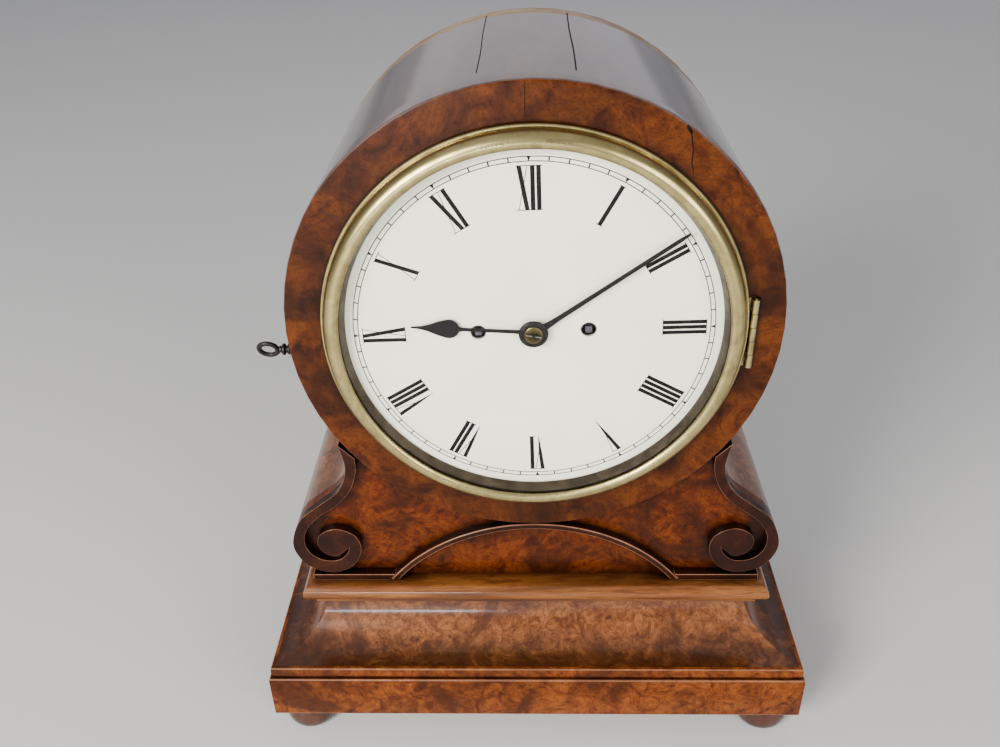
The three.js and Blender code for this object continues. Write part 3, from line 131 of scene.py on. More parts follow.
def wood(name, dark, middle, light, stretch, burr=1.0, turn=(0, 0, 0), gloss=0.3, polish=0.2, soil_and_shade_reach=0.014,
         fine=1.0, shine=0.3, darker_band=()):
    material, tree, surface = new_material(name)
    along = placed(tree, stretch, turn)
    figure = noise(tree, along, figure_scale * fine, 7, 2.4 * burr, 0.6)
    body = ramp(tree, figure, [(0.3, dark), (0.45, middle), (0.6, light), (0.8, middle)])
    clouds = noise(tree, along, cloud_scale * fine, 4, 1.6)
    clouded = mix(tree, ramp(tree, clouds, [(0.38, (0.8,) * 3), (0.56, (0, 0, 0))]), body, dark)
    growth = tree.nodes.new("ShaderNodeMath")
    growth.operation = "PINGPONG"
    growth.inputs[1].default_value = ring_spacing
    link(tree, noise(tree, along, ring_scale * fine, 3, 1.4 * burr), growth.inputs[0])
    rings = ramp(tree, growth.outputs[0], [(0.0, (0.42 * burr,) * 3), (0.013, (0, 0, 0))])
    swirled = mix(tree, rings, clouded, [c * 0.6 for c in dark])
    knots = tree.nodes.new("ShaderNodeTexVoronoi")
    knots.inputs["Scale"].default_value = knot_scale
    knots.inputs["Randomness"].default_value = 1
    link(tree, along, knots.inputs["Vector"])
    eyes = ramp(tree, knots.outputs["Distance"], [(0.06, (0.8 * burr,) * 3), (0.17, (0, 0, 0))])
    where = ramp(tree, noise(tree, along, 21, 2), [(0.5, (0, 0, 0)), (0.6, (1, 1, 1))])
    spotted = mix(tree, mix(tree, 1.0, eyes, where, "MULTIPLY"), swirled, [c * 0.35 for c in dark])
    lines = noise(tree, placed(tree, [s * 5 for s in stretch], turn), vein_scale, 3, 3.0 * burr)
    veined = mix(tree, ramp(tree, lines, [(0.36, (0.5,) * 3), (0.5, (0, 0, 0))]), spotted, dark)
    # Darker towards the bottom of the plinth hollow: a band above a given height with a ragged top edge.
    if darker_band:
        height = tree.nodes.new("ShaderNodeSeparateXYZ")
        link(tree, placed(tree, (1, 1, 1)), height.inputs["Vector"])
        ragged = tree.nodes.new("ShaderNodeMath")
        ragged.operation = "MULTIPLY_ADD"
        link(tree, noise(tree, along, 60, 4, 1.0), ragged.inputs[0])
        ragged.inputs[1].default_value = darker_band_raggedness
        link(tree, height.outputs["Z"], ragged.inputs[2])
        reach = tree.nodes.new("ShaderNodeMapRange")
        link(tree, ragged.outputs[0], reach.inputs["Value"])
        reach.inputs["From Min"].default_value = darker_band[0] + darker_band_raggedness / 2
        reach.inputs["From Max"].default_value = darker_band[1] + darker_band_raggedness / 2
        layer = ramp(tree, reach.outputs["Result"], [(0.0, (0.85,) * 3), (1.0, (0, 0, 0))])
        veined = mix(tree, layer, veined, [c * 0.5 for c in dark])
    # Recesses mix towards a very dark tone: grime and painted shade.
    soiled_and_shaded = mix(tree, recess_soil_and_shade(tree, soil_and_shade_reach), [c * 0.15 for c in dark], veined)
    link(tree, soiled_and_shaded, surface.inputs["Base Color"])
    surface.inputs["Roughness"].default_value = gloss
    surface.inputs["Specular IOR Level"].default_value = shine
    surface.inputs["Coat Weight"].default_value = polish
    surface.inputs["Coat Roughness"].default_value = 0.1
    bump = tree.nodes.new("ShaderNodeBump")
    bump.inputs["Strength"].default_value = 0.05
    bump.inputs["Distance"].default_value = 0.0004
    link(tree, figure, bump.inputs["Height"])
    link(tree, bump.outputs["Normal"], surface.inputs["Normal"])
    return material


def soften(piece, angle):
    piece.data.shade_smooth()
    piece.data.set_sharp_from_angle(angle=math.radians(angle))


def finish_piece(name, points, faces, material, body, stands_for=(), angle=32, bevel=0.0, edge_wood=None):
    name = name.replace(" ", "_")
    mesh = bpy.data.meshes.new(name)
    mesh.from_pydata([tuple(p) for p in points], [], faces)
    mesh.validate()
    piece = bpy.data.objects.new(name, mesh)
    bpy.context.scene.collection.objects.link(piece)
    mesh.materials.append(material)
    if edge_wood:
        mesh.materials.append(edge_wood)
    soften(piece, angle)
    if bevel:
        round_edges(piece, bevel, 3, 1 if edge_wood else 0)
    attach(piece, body)
    if stands_for:
        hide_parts(*stands_for)
    return piece


# With slot 1 the bevel takes lighter edge wood: partly wear, partly painted highlight.
def round_edges(piece, width, segments=3, slot=0):
    edge = piece.modifiers.new("rounded edges", "BEVEL")
    edge.width = width / 1000
    edge.segments = segments
    edge.material = slot
    edge.limit_method = "ANGLE"
    edge.angle_limit = math.radians(40)
    edge.harden_normals = True


def turned(name, profile, steps, place, material, body, stands_for=(), closed=False, angle=32):
    points = []
    faces = []
    rows = []
    for radius, along in profile:
        if radius == 0:
            rows.append([len(points)] * steps)
            points.append(place(0, 0, along))
            continue
        rows.append([len(points) + i for i in range(steps)])
        for i in range(steps):
            turn = 2 * math.pi * i / steps
            points.append(place(radius * math.cos(turn), radius * math.sin(turn), along))
    pairs = list(zip(rows, rows[1:]))
    if closed:
        pairs.append((rows[-1], rows[0]))
    for a, b in pairs:
        for i in range(steps):
            j = (i + 1) % steps
            face = [a[i], a[j], b[j], b[i]]
            faces.append([v for k, v in enumerate(face) if v != face[k - 1]])
    return finish_piece(name, points, faces, material, body, stands_for, angle)


def arc(centre, radius, start, end, steps):
    turns = [math.radians(start + (end - start) * i / steps) for i in range(steps + 1)]
    return [(centre[0] + radius * math.cos(t), centre[1] + radius * math.sin(t)) for t in turns]


foot_wood = wood("dark polished walnut", (0.045, 0.014, 0.008), (0.085, 0.03, 0.016),
                 (0.13, 0.05, 0.026), (1, 1, 0.3), 0.2, gloss=0.22)
foot_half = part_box("foot_front_left")[1].z * 1000 / 2
foot_sole = 11.5
foot_waist = 12.4
foot_swell = 4.6
foot_neck = 12.6
foot_flatness = 0.97
for corner in ("front_left", "front_right", "back_left", "back_right"):
    low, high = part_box("foot_" + corner)
    middle = (low + high) / 2
    bun = [(0, 0), (foot_sole, 0)]
    bun += [(foot_waist + foot_swell * math.cos(t), foot_half + foot_half * math.sin(t) * foot_flatness)
            for t in [math.radians(-80 + 160 * i / 16) for i in range(17)]]
    bun += [(foot_neck, 2 * foot_half), (0, 2 * foot_half)]
    turned("bun foot " + corner.replace("_", " "), bun, 48,
           lambda a, b, up: Vector((middle.x + a / 1000, middle.y + b / 1000, up / 1000)),
           foot_wood, "case", ["foot_" + corner])


# ---- plinth ----
# Burr walnut veneer on a deep plinth: a flat band, a small fillet and a hollow moulding above it.
# The front and the two sides meet in mitres; the back is a plain board.
base_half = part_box("plinth_front")[1].x * 1000
base_front = (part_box("plinth_front")[0].y - ring_face) * 1000
base_back = (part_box("plinth_back")[1].y - ring_face) * 1000
base_bottom = (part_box("plinth_front")[0].z - dial_height) * 1000
base_top = (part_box("plinth_front")[1].z - dial_height) * 1000
mitre = base_front + base_half
hollow_reach = 33.2
hollow_rise = 30.0
band_rise = 31.2
fillet_half = base_half - 1.7
fillet_top = base_top - hollow_rise
fillet_height = (fillet_top + dial_height * 1000) / 1000
darker_band_depth = 0.009

burr = wood("burr walnut", (0.05, 0.013, 0.004), (0.16, 0.048, 0.012), (0.26, 0.09, 0.026),
            (1, 1, 1), 1.0, gloss=0.26, polish=0.35, soil_and_shade_reach=0.02, fine=1.1,
            darker_band=(fillet_height, fillet_height + darker_band_depth))
band_burr = wood("burr walnut band", (0.03, 0.006, 0.001), (0.13, 0.027, 0.003), (0.21, 0.054, 0.007),
                 (1, 1, 1), 1.0, gloss=0.3, polish=0.06, shine=0.12)
burr_dark = wood("darker burr walnut", (0.018, 0.0035, 0.0006), (0.085, 0.0135, 0.001),
                 (0.135, 0.027, 0.002), (1, 1, 1), 1.0, gloss=0.32, polish=0.05, soil_and_shade_reach=0.016, shine=0.12)
carved = wood("carved walnut", (0.009, 0.002, 0.001), (0.021, 0.0042, 0.0014), (0.034, 0.008, 0.0024),
              (1, 1, 1), 0.3, gloss=0.3, polish=0.05, soil_and_shade_reach=0.01, shine=0.12)
# Lighter walnut for rounded edges: partly wear, partly painted highlight.
rubbed_and_highlit_edge = wood("walnut lighter at rubbed and highlit edges", (0.12, 0.045, 0.02), (0.2, 0.08, 0.035), (0.26, 0.11, 0.05),
                 (1, 1, 1), 0.4, gloss=0.3, polish=0.2, soil_and_shade_reach=0.002)
cross_grain = wood("straight walnut", (0.045, 0.012, 0.003), (0.15, 0.046, 0.009),
                   (0.23, 0.083, 0.02), (0.12, 0.5, 1.6), 0.35, gloss=0.24, polish=0.3)

plinth_thickness = 46.3
plinth_inner = base_half - plinth_thickness
bottom_round = 1
band_round = 0.8
band_top = base_bottom + band_rise
groove_top = band_top + 1.3
fillet_round = 0.7
plinth_profile = [(plinth_inner, base_bottom), (base_half - bottom_round, base_bottom)]
plinth_profile += arc((base_half - bottom_round, base_bottom + bottom_round), bottom_round, -90, 0, 3)[1:]
plinth_profile += arc((base_half - band_round, band_top - band_round), band_round, 0, 90, 3)
plinth_profile += [(base_half - 2.4, band_top), (base_half - 2.6, groove_top)]
plinth_profile += [(fillet_half - 0.5, groove_top), (fillet_half, groove_top + 0.5)]
plinth_profile += arc((fillet_half - fillet_round, fillet_top - fillet_round), fillet_round, 0, 90, 3)
hollow = [math.radians(90 * i / 22) for i in range(1, 23)]
plinth_profile += [(fillet_half - hollow_reach * math.sin(t), base_top - hollow_rise * math.cos(t))
                   for t in hollow]
plinth_profile += [(plinth_inner, base_top)]


def moulding(name, profile, start, end, stands_for):
    points = [start(w, z) for w, z in profile] + [end(w, z) for w, z in profile]
    count = len(profile)
    faces = [[i, (i + 1) % count, count + (i + 1) % count, count + i] for i in range(count)]
    faces += [list(range(count))[::-1], [count + i for i in range(count)]]
    piece = finish_piece(name, points, faces, burr, "case", stands_for, edge_wood=rubbed_and_highlit_edge)
    piece.data.materials.append(band_burr)
    # Short faces of the rounded corners take the lighter edge wood: wear and painted highlight.
    rounded_corner = 0.8
    for i in range(count):
        (w, z), (next_w, next_z) = profile[i], profile[(i + 1) % count]
        length = math.hypot(next_w - w, next_z - z)
        if length < rounded_corner:
            piece.data.polygons[i].material_index = 1
        elif max(z, next_z) < fillet_top + 0.1:
            piece.data.polygons[i].material_index = 2


moulding("plinth front", plinth_profile, lambda w, z: spot(-w, mitre - w, z),
         lambda w, z: spot(w, mitre - w, z), ["plinth_front"])
for side, name in ((-1, "left"), (1, "right")):
    moulding("plinth " + name + " side", plinth_profile,
             lambda w, z: spot(side * w, mitre - w, z),
             lambda w, z: spot(side * w, base_back, z), ["plinth_" + name])


# ---- plinth top ----
# A straight-grained walnut board with a half-round edge, on a thin fillet, glued on the plinth.
# Its front and side edges carry the moulding; the back edge is square.
board_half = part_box("plinth_top")[1].x * 1000
waist_bottom = (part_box("plinth_top")[1].z - dial_height) * 1000
nose_radius = 5.8
nose_top = waist_bottom - 2 * nose_radius
board_inner = board_half - 20
under_fillet = fillet_half - hollow_reach + 5.7
board_profile = [(board_inner, base_top), (under_fillet, base_top), (under_fillet, nose_top - 0.6)]
board_profile += [(under_fillet + 0.5, nose_top)]
board_profile += arc((board_half - nose_radius, waist_bottom - nose_radius), nose_radius, -90, 90, 18)
board_profile += [(board_inner, waist_bottom)]
board_back = (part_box("plinth_top")[1].y - ring_face) * 1000
board_rings = []
board_faces = []
for w, z in board_profile:
    board_rings += [spot(-w, board_back, z), spot(-w, mitre - w, z)]
    board_rings += [spot(w, mitre - w, z), spot(w, board_back, z)]
for i in range(len(board_profile) - 1):
    for k in range(3):
        a = 4 * i + k
        board_faces.append([a, a + 1, a + 5, a + 4])
last = 4 * (len(board_profile) - 1)
board_faces += [[last, last + 1, last + 2, last + 3], [3, 2, 1, 0], [0, last, last + 3, 3]]
board_faces.append([4 * i for i in range(len(board_profile))])
board_faces.append([4 * i + 3 for i in range(len(board_profile))][::-1])
finish_piece("plinth top board", board_rings, board_faces, cross_grain, "case", ["plinth_top"])


# ---- back and inner boards ----
# Plain, paler wood that is never seen from the front: the back of the plinth, waist and drum, the bottom
# board and the board that the movement stands on. Planed flat and glued or screwed in place.
plain = wood("plain secondary wood", (0.2, 0.11, 0.055), (0.32, 0.2, 0.11), (0.4, 0.27, 0.16),
             (0.3, 1, 1), 0.15, gloss=0.6)


def dress(node, material, angle=32, bevel=0.0, edge_wood=None):
    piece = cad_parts[node]
    piece.data.materials.clear()
    piece.data.materials.append(material)
    if "custom_normal" in piece.data.attributes:
        piece.data.attributes.remove(piece.data.attributes["custom_normal"])
    piece.data.shade_smooth()
    weld = piece.modifiers.new("joined corners", "WELD")
    weld.merge_threshold = 0.000002
    if edge_wood:
        piece.data.materials.append(edge_wood)
    if bevel:
        round_edges(piece, bevel, 2, 1 if edge_wood else 0)
    split = piece.modifiers.new("crisp edges", "EDGE_SPLIT")
    split.split_angle = math.radians(angle)
    flat = piece.modifiers.new("flat faces stay flat", "WEIGHTED_NORMAL")
    flat.weight = 100


for node in ("plinth_back", "bottom_board", "waist_back", "drum_back_ring", "seat_board"):
    dress(node, plain)


# ---- waist ----
# Burr-veneered boards under the drum: a shaped front panel and two sides that follow its curve.
# The panel is hollowed to the drum and stands on the plinth top.
dress("waist_panel", burr_dark)
for name in ("left", "right"):
    dress("waist_side_" + name, burr, 40)
    dress("rail_" + name, carved, 32, 0.5, rubbed_and_highlit_edge)


# ---- scrolls ----
# Flat carved bands of solid walnut, one each side, that run down from the drum and curl into an eye.
# Glued on the panel; the walls of the curl are dark with old polish, and with painted shade where they meet
# the panel.
scroll_front = (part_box("scroll_right")[0].y - ring_face) * 1000
scroll_back = (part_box("scroll_right")[1].y - ring_face) * 1000
scroll_outer = [(109.8, 101), (107.4, 84.5), (113, 69.1), (125.5, 58.1), (138, 47), (144.4, 29.5),
                (141, 16.5), (133, 9), (121, 6.2), (109.5, 12), (103.8, 24.5), (106.8, 35.2),
                (117.4, 40.3), (127, 36.3), (129.6, 29), (126, 21.5), (119, 19.1), (114, 23)]
scroll_inner = [(110.8, 25.8), (113, 20.5), (119, 15.9), (128, 16.3), (135, 22), (137.3, 31), (134.5, 40.5),
                (127, 49.2), (114.4, 59), (105.8, 70), (101.6, 82.5), (101.2, 92)]


def smooth_line(points, steps):
    ends = [points[0]] + points + [points[-1]]
    line = []
    for a, b, c, d in zip(ends, ends[1:], ends[2:], ends[3:]):
        for i in range(steps):
            t = i / steps
            line.append(tuple(0.5 * (2 * q + (r - p) * t + (2 * p - 5 * q + 4 * r - s) * t * t
                                     + (3 * q - p - 3 * r + s) * t * t * t)
                              for p, q, r, s in zip(a, b, c, d)))
    return line + [points[-1]]


def slab(name, edge, front, back, place, material, body, stands_for=(), bevel=0.0, angle=32, edge_wood=None):
    count = len(edge)
    points = [place(x, front, z) for x, z in edge] + [place(x, back, z) for x, z in edge]
    faces = [[i, count + i, count + (i + 1) % count, (i + 1) % count] for i in range(count)]
    faces += [list(range(count)), [count + i for i in range(count)][::-1]]
    piece = finish_piece(name, points, faces, material, body, stands_for, angle, bevel, edge_wood)
    bpy.context.view_layer.update()
    return piece


drum_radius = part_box("drum_shell")[1].x * 1000
drum_gap = 0.3
for side, name in ((-1, "left"), (1, "right")):
    band = smooth_line(scroll_outer, 6) + smooth_line(scroll_inner, 6)
    band = [(x, waist_bottom + up) for x, up in band]
    clear = drum_radius + drum_gap
    band = [(x, z) if math.hypot(x, z) > clear else
            (x * clear / math.hypot(x, z), z * clear / math.hypot(x, z)) for x, z in band]
    edge = [(side * x, z) for x, z in band]
    if side > 0:
        edge = edge[::-1]
    slab("scroll " + name, edge, scroll_front, scroll_back, spot, carved, "case",
         ["scroll_" + name], 0.6, edge_wood=rubbed_and_highlit_edge)


# ---- arch moulding ----
# A slim curved moulding that rises from the plinth top to the underside of the ring.
# Bent walnut, rounded on its front edges, glued on the panel.
arch_radius = 109.4
arch_width = 3.8
arch_middle = -(drum_radius + drum_gap) - arch_radius
arch_outer = math.degrees(math.asin((waist_bottom - arch_middle) / arch_radius))
arch_inner = math.degrees(math.asin((waist_bottom - arch_middle) / (arch_radius - arch_width)))
arch_edge = arc((0, arch_middle), arch_radius, 180 - arch_outer, arch_outer, 72)
arch_edge += arc((0, arch_middle), arch_radius - arch_width, arch_inner, 180 - arch_inner, 72)
slab("arch moulding", arch_edge[::-1], scroll_front, scroll_back, spot, carved, "case",
     ["arch_moulding"], 0.6, edge_wood=rubbed_and_highlit_edge)


# ---- drum ----
# A veneered drum with a thick front ring, faced with burr walnut. Two old shrinkage seams run from front
# to back over the top, and the ring's veneer has a joint, a crack and a small loss.
# The ring's strong recess darkening beside the bezel is grime and painted shade.
ring_wood = wood("burr walnut ring", (0.014, 0.003, 0.0006), (0.066, 0.0135, 0.0013),
                 (0.105, 0.0255, 0.0024), (1, 1, 1), 0.75, gloss=0.32, polish=0.05, soil_and_shade_reach=0.022, fine=0.7,
                 shine=0.12)
drum_wood = wood("drum veneer", (0.05, 0.018, 0.009), (0.095, 0.036, 0.018), (0.14, 0.056, 0.027),
                 (1.4, 0.25, 1.4), 0.4, gloss=0.22, polish=1.0)
dress("drum_front_ring", ring_wood, 32, edge_wood=drum_wood)
rim_depth = 2
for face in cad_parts["drum_front_ring"].data.polygons:
    out = math.hypot(face.center.x, face.center.z - dial_height)
    if abs(face.normal.y) < 0.5 and out > (drum_radius - rim_depth) / 1000:
        face.material_index = 1
dress("drum_shell", drum_wood)
dress("rear_door", burr_dark)



def even_finish(name, color, roughness, specular=0.5, metal=0.0):
    material, tree, surface = new_material(name)
    surface.inputs["Base Color"].default_value = (*color, 1)
    surface.inputs["Roughness"].default_value = roughness
    surface.inputs["Specular IOR Level"].default_value = specular
    surface.inputs["Metallic"].default_value = metal
    return material


dark_line = even_finish("open seam", (0.006, 0.004, 0.003), 0.8, 0.1)
veneer_lift = 0.04
crack_lift = 0.05


def seam(name, turns, depths, width):
    points = []
    faces = []
    for turn, depth in zip(turns, depths):
        along = math.radians(turn)
        for off in (-width / 2, width / 2):
            a = along + off / drum_radius
            reach = drum_radius + veneer_lift
            points.append(spot(reach * math.sin(a), depth, reach * math.cos(a)))
    for i in range(len(turns) - 1):
        faces.append([2 * i, 2 * i + 1, 2 * i + 3, 2 * i + 2])
    finish_piece(name, points, faces, dark_line, "case")


def crack(name, line, width):
    points = []
    for i, (x, z) in enumerate(line):
        half = width / 2 * (0.25 if i in (0, len(line) - 1) else 1)
        points += [spot(x - half, -crack_lift, z), spot(x + half, -crack_lift, z)]
    faces = [[2 * i, 2 * i + 1, 2 * i + 3, 2 * i + 2] for i in range(len(line) - 1)]
    finish_piece(name, points, faces, dark_line, "case")


crack("joint in the ring veneer", [(-3.8, 128.4), (-3.5, 122), (-3.6, 115), (-3.1, 109.8)], 0.35)
crack("crack in the ring veneer", [(72.2, 106.2), (72.9, 102), (74.3, 95.2), (73.9, 90), (75.7, 81.5)], 0.6)
crack("loss beside the crack", [(70.9, 107), (71.4, 105.6), (72.4, 104), (73, 102.6)], 1.9)
seam("left seam of the drum veneer", [-11.7, -11.5, -11.7, -11.5], [21, 60, 105, 150], 0.5)
seam("right seam of the drum veneer", [9.1, 9.3, 9.1, 9.3], [20, 60, 105, 150], 0.6)


# ---- dial ----
# Sheet iron painted off-white, with a black minute track and Roman numerals.
# It leans a little in the case, as the whole movement does; four feet pin it to the movement.
lean = math.radians(1.25)
dial_front = (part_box("dial")[0].y - ring_face) * 1000
paint, tree, surface = new_material("painted dial")
mottle_scale = 28
speck_scale = 420
mottle = noise(tree, placed(tree, (1, 1, 1)), mottle_scale, 5)
tone = ramp(tree, mottle, [(0.3, (0.9, 0.87, 0.7)), (0.62, (0.95, 0.925, 0.77))])
specks = noise(tree, placed(tree, (1, 1, 1)), speck_scale, 2)
link(tree, mix(tree, ramp(tree, specks, [(0.72, (0, 0, 0)), (0.8, (0.35,) * 3)]), tone, (0.5, 0.42, 0.32)),
     surface.inputs["Base Color"])
surface.inputs["Roughness"].default_value = 0.38
dress("dial", paint)

ink = even_finish("black dial paint", (0.006, 0.006, 0.006), 0.5, 0.1)
paint_lift = 0.06


def leaning(x, y, z):
    return spot(x * math.cos(lean) - z * math.sin(lean), y, x * math.sin(lean) + z * math.cos(lean))


def marks(name, shapes):
    points = []
    faces = []
    for shape in shapes:
        faces.append([len(points) + i for i in range(len(shape))])
        points += [leaning(x, dial_front - paint_lift, z) for x, z in shape]
    return finish_piece(name, points, faces, ink, "case")


def round_line(radius, width, steps=240):
    shapes = []
    for i in range(steps):
        a = 2 * math.pi * i / steps
        b = 2 * math.pi * (i + 1) / steps
        shapes.append([(r * math.sin(t), r * math.cos(t)) for r, t in
                       ((radius - width / 2, a), (radius + width / 2, a), (radius + width / 2, b),
                        (radius - width / 2, b))])
    return shapes


def around_dial(shape, turn):
    return [(x * math.cos(turn) + r * math.sin(turn), r * math.cos(turn) - x * math.sin(turn))
            for x, r in shape]


track_inner = 90.9
track_outer = 93.2
track_line = 0.5
minute_half_width = 0.36
arrow_half_width = 0.95
track = round_line(track_inner, track_line) + round_line(track_outer, track_line)
for minute in range(60):
    turn = 2 * math.pi * minute / 60
    if minute % 5 == 0:
        shape = [(-arrow_half_width, track_outer), (arrow_half_width, track_outer), (0, track_inner - 0.3)]
    else:
        shape = [(-minute_half_width, track_inner), (-minute_half_width, track_outer),
                 (minute_half_width, track_outer), (minute_half_width, track_inner)]
    track.append(around_dial(shape, turn))
marks("minute track", track)

numeral_out = 88.9
numeral_in = 66.3
stroke = 2.2
pitch = 2.95
hair = 0.36
serif = 0.42
serif_reach = 0.35
waist_of_v = 0.5 * (numeral_out + numeral_in)
glyph_widths = {"I": pitch, "V": 5.3, "X": 6.1}
words = ["XII", "I", "II", "III", "IIII", "V", "VI", "VII", "VIII", "IX", "X", "XI"]


def slant(x_out, x_in, width):
    half = width / 2
    return [(x_out - half, numeral_out), (x_out + half, numeral_out),
            (x_in + half, numeral_in), (x_in - half, numeral_in)]


numeral_shapes = []
for hour, word in enumerate(words):
    shapes = []
    across = -sum(glyph_widths[letter] for letter in word) / 2
    for letter in word:
        wide = glyph_widths[letter]
        middle = across + wide / 2
        if letter == "I":
            shapes.append(slant(middle, middle, stroke))
        if letter == "V":
            shapes.append([(middle - 2.7, numeral_out), (middle - 0.5, numeral_out),
                           (middle + 0.45, waist_of_v), (middle + 0.5, numeral_in - 0.4),
                           (middle + 0.3, numeral_in - 0.4), (middle - 1.4, waist_of_v)])
            shapes.append([(middle + 2.1, numeral_out), (middle + 2.1 + hair, numeral_out),
                           (middle + 0.3 + hair, waist_of_v), (middle + 0.3, waist_of_v)])
        if letter == "X":
            shapes.append(slant(middle - 1.9, middle + 1.8, stroke))
            shapes.append(slant(middle + 2.1, middle - 2.3, hair))
        across += wide
    half_word = sum(glyph_widths[letter] for letter in word) / 2
    reach_out = half_word + serif_reach
    left_in = -half_word - serif_reach
    if word[0] == "V":
        left_in += glyph_widths["V"]
    right_in = half_word + serif_reach
    shapes.append([(-reach_out, numeral_out - serif), (-reach_out, numeral_out), (reach_out, numeral_out),
                   (reach_out, numeral_out - serif)])
    if word != "V":
        shapes.append([(left_in, numeral_in), (left_in, numeral_in + serif), (right_in, numeral_in + serif),
                       (right_in, numeral_in)])
    turn = 2 * math.pi * hour / 12
    numeral_shapes += [around_dial(shape, turn) for shape in shapes]
marks("roman numerals", numeral_shapes)


# ---- hands ----
# Blued steel, nearly black: a pear-shaped hour hand and a slim minute hand with a domed boss.
# A brass collet and a taper pin hold them on the centre arbor.
hand_steel = even_finish("blued steel", (0.006, 0.0045, 0.005), 0.36, 0.2)

shown_hour = 9
shown_minute = 9.25
minute_turn = 2 * math.pi * shown_minute / 60
hour_turn = 2 * math.pi * (shown_hour + shown_minute / 60) / 12
hour_front = (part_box("hour_hand")[0].y - ring_face) * 1000
hour_back = (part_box("hour_hand")[1].y - ring_face) * 1000
minute_back = (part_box("minute_hand")[1].y - ring_face) * 1000
minute_front = minute_back - 0.8


def on_hand(turn):
    return lambda x, y, z: leaning(x * math.cos(turn) + z * math.sin(turn), y,
                                   z * math.cos(turn) - x * math.sin(turn))


def hand(name, half, turn, front, back, body, stands_for):
    edge = half + [(-x, z) for x, z in half[::-1]]
    return slab(name, edge, front, back, on_hand(turn), hand_steel, body, stands_for, 0.25, 50)


pear_radius = 5.4
pear_middle = 43.6
pear = [(pear_radius * math.sin(math.radians(t)), pear_middle - pear_radius * math.cos(math.radians(t)))
        for t in range(15, 100, 12)]
taper = smooth_line([(5.35, 44.6), (3.9, 49.5), (1.9, 54.5), (0.8, 59), (0.35, 63.4)], 5)
hour_half = [(1.3, 4), (1.0, 10), (0.95, 36.5)] + pear + taper
hand("hour hand", hour_half, hour_turn, hour_front, hour_back, "hour_pipe", ["hour_hand"])
hub_hole = 2.6
hour_hub = arc((5.2, (hour_front + hour_back) / 2), 0.4, 90, -90, 6)
turned("hour hand hub", [(hub_hole, hour_back), *hour_hub, (hub_hole, hour_front)], 48,
       on_hand(hour_turn), hand_steel, "hour_pipe", closed=True)
minute_half = [(2.1, 5), (1.8, 9), (1.4, 15), (1.2, 40), (1.05, 88), (0.6, 93.7)]
hand("minute hand", minute_half, minute_turn, minute_front, minute_back, "centre_arbor", ["minute_hand"])
boss_foot = 7.2
boss_crown = 5.4
boss_roll = 2.3
boss = [(hub_hole, minute_back), (boss_foot, minute_back)]
boss += [(boss_crown + boss_roll * math.cos(t), minute_front + 0.5 - 1.3 * math.sin(t))
         for t in [math.radians(180 * i / 14) for i in range(15)]]
boss += [(hub_hole, minute_front)]


def leaning_turned(name, profile, steps, material, body, stands_for=(), closed=False, angle=32):
    return turned(name, profile, steps, lambda a, b, y: leaning(a, y, b), material, body,
                  stands_for, closed, angle)


leaning_turned("minute hand boss", boss, 64, hand_steel, "centre_arbor", closed=True, angle=50)


tarnish_scale = 85


def brass_finish(name, clean, aged, roughness, soil_and_shade_amount=0.0, reach=0.004):
    material, tree, surface = new_material(name)
    age = noise(tree, placed(tree, (1, 1, 1)), tarnish_scale, 5, 0.8)
    tone = mix(tree, ramp(tree, age, [(0.38, (0, 0, 0)), (0.7, (1, 1, 1))]), clean, aged)
    # Where set, recesses darken towards the aged tone: grime and painted shade.
    if soil_and_shade_amount:
        tone = mix(tree, recess_soil_and_shade(tree, reach), [c * soil_and_shade_amount for c in aged], tone)
    link(tree, tone, surface.inputs["Base Color"])
    surface.inputs["Metallic"].default_value = 1
    rough = ramp(tree, age, [(0.3, (roughness,) * 3), (0.75, (roughness + 0.14,) * 3)])
    link(tree, rough, surface.inputs["Roughness"])
    return material


brass = brass_finish("old lacquered brass", (0.5, 0.41, 0.18), (0.3, 0.24, 0.1), 0.24)
# Hinge brass darkens in its recesses: grime and painted shade.
hinge_brass = brass_finish("soiled brass with painted shade", (0.5, 0.41, 0.2), (0.28, 0.22, 0.1), 0.26, 0.12, 0.0022)
# The collet's brass darkens in its recesses too: grime and painted shade.
collet_brass = brass_finish("dull brass", (0.3, 0.24, 0.1), (0.2, 0.15, 0.06), 0.3, 0.1, 0.002)
steel = brass_finish("polished steel", (0.52, 0.52, 0.53), (0.36, 0.35, 0.34), 0.24)
collet_back = (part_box("hand_collet")[1].y - ring_face) * 1000
collet = [(1.1, collet_back), (4.7, collet_back), (4.75, collet_back - 0.35), (4.3, collet_back - 0.75),
          (2.6, collet_back - 0.95), (1.1, collet_back - 0.95)]
leaning_turned("hand collet", collet, 48, collet_brass, "centre_arbor", ["hand_collet"], True)
dress("taper_pin", steel)


# ---- winding holes and squares ----
# Each hole in the dial has a dark edge, painted shade for the shadow inside the hole; the steel winding
# square of its fusee stands inside.
# The squares belong to the fusees and turn with them.
hole_shade_lip = even_finish("blackened hole edge", (0.02, 0.02, 0.02), 0.4)
winding_steel = even_finish("grey winding square", (0.05, 0.05, 0.065), 0.4, metal=0.3)
hole_spread = 28.509
hole_radius = 4.0
square = 1.85


def block(name, low, high, material, body, stands_for=(), place=spot, bevel=0.0):
    xs, ys, zs = zip(low, high)
    points = [place(xs[i], ys[j], zs[k]) for i in (0, 1) for j in (0, 1) for k in (0, 1)]
    faces = [[0, 1, 3, 2], [4, 6, 7, 5], [0, 4, 5, 1], [2, 3, 7, 6], [0, 2, 6, 4], [1, 5, 7, 3]]
    return finish_piece(name, points, faces, material, body, stands_for, 32, bevel)


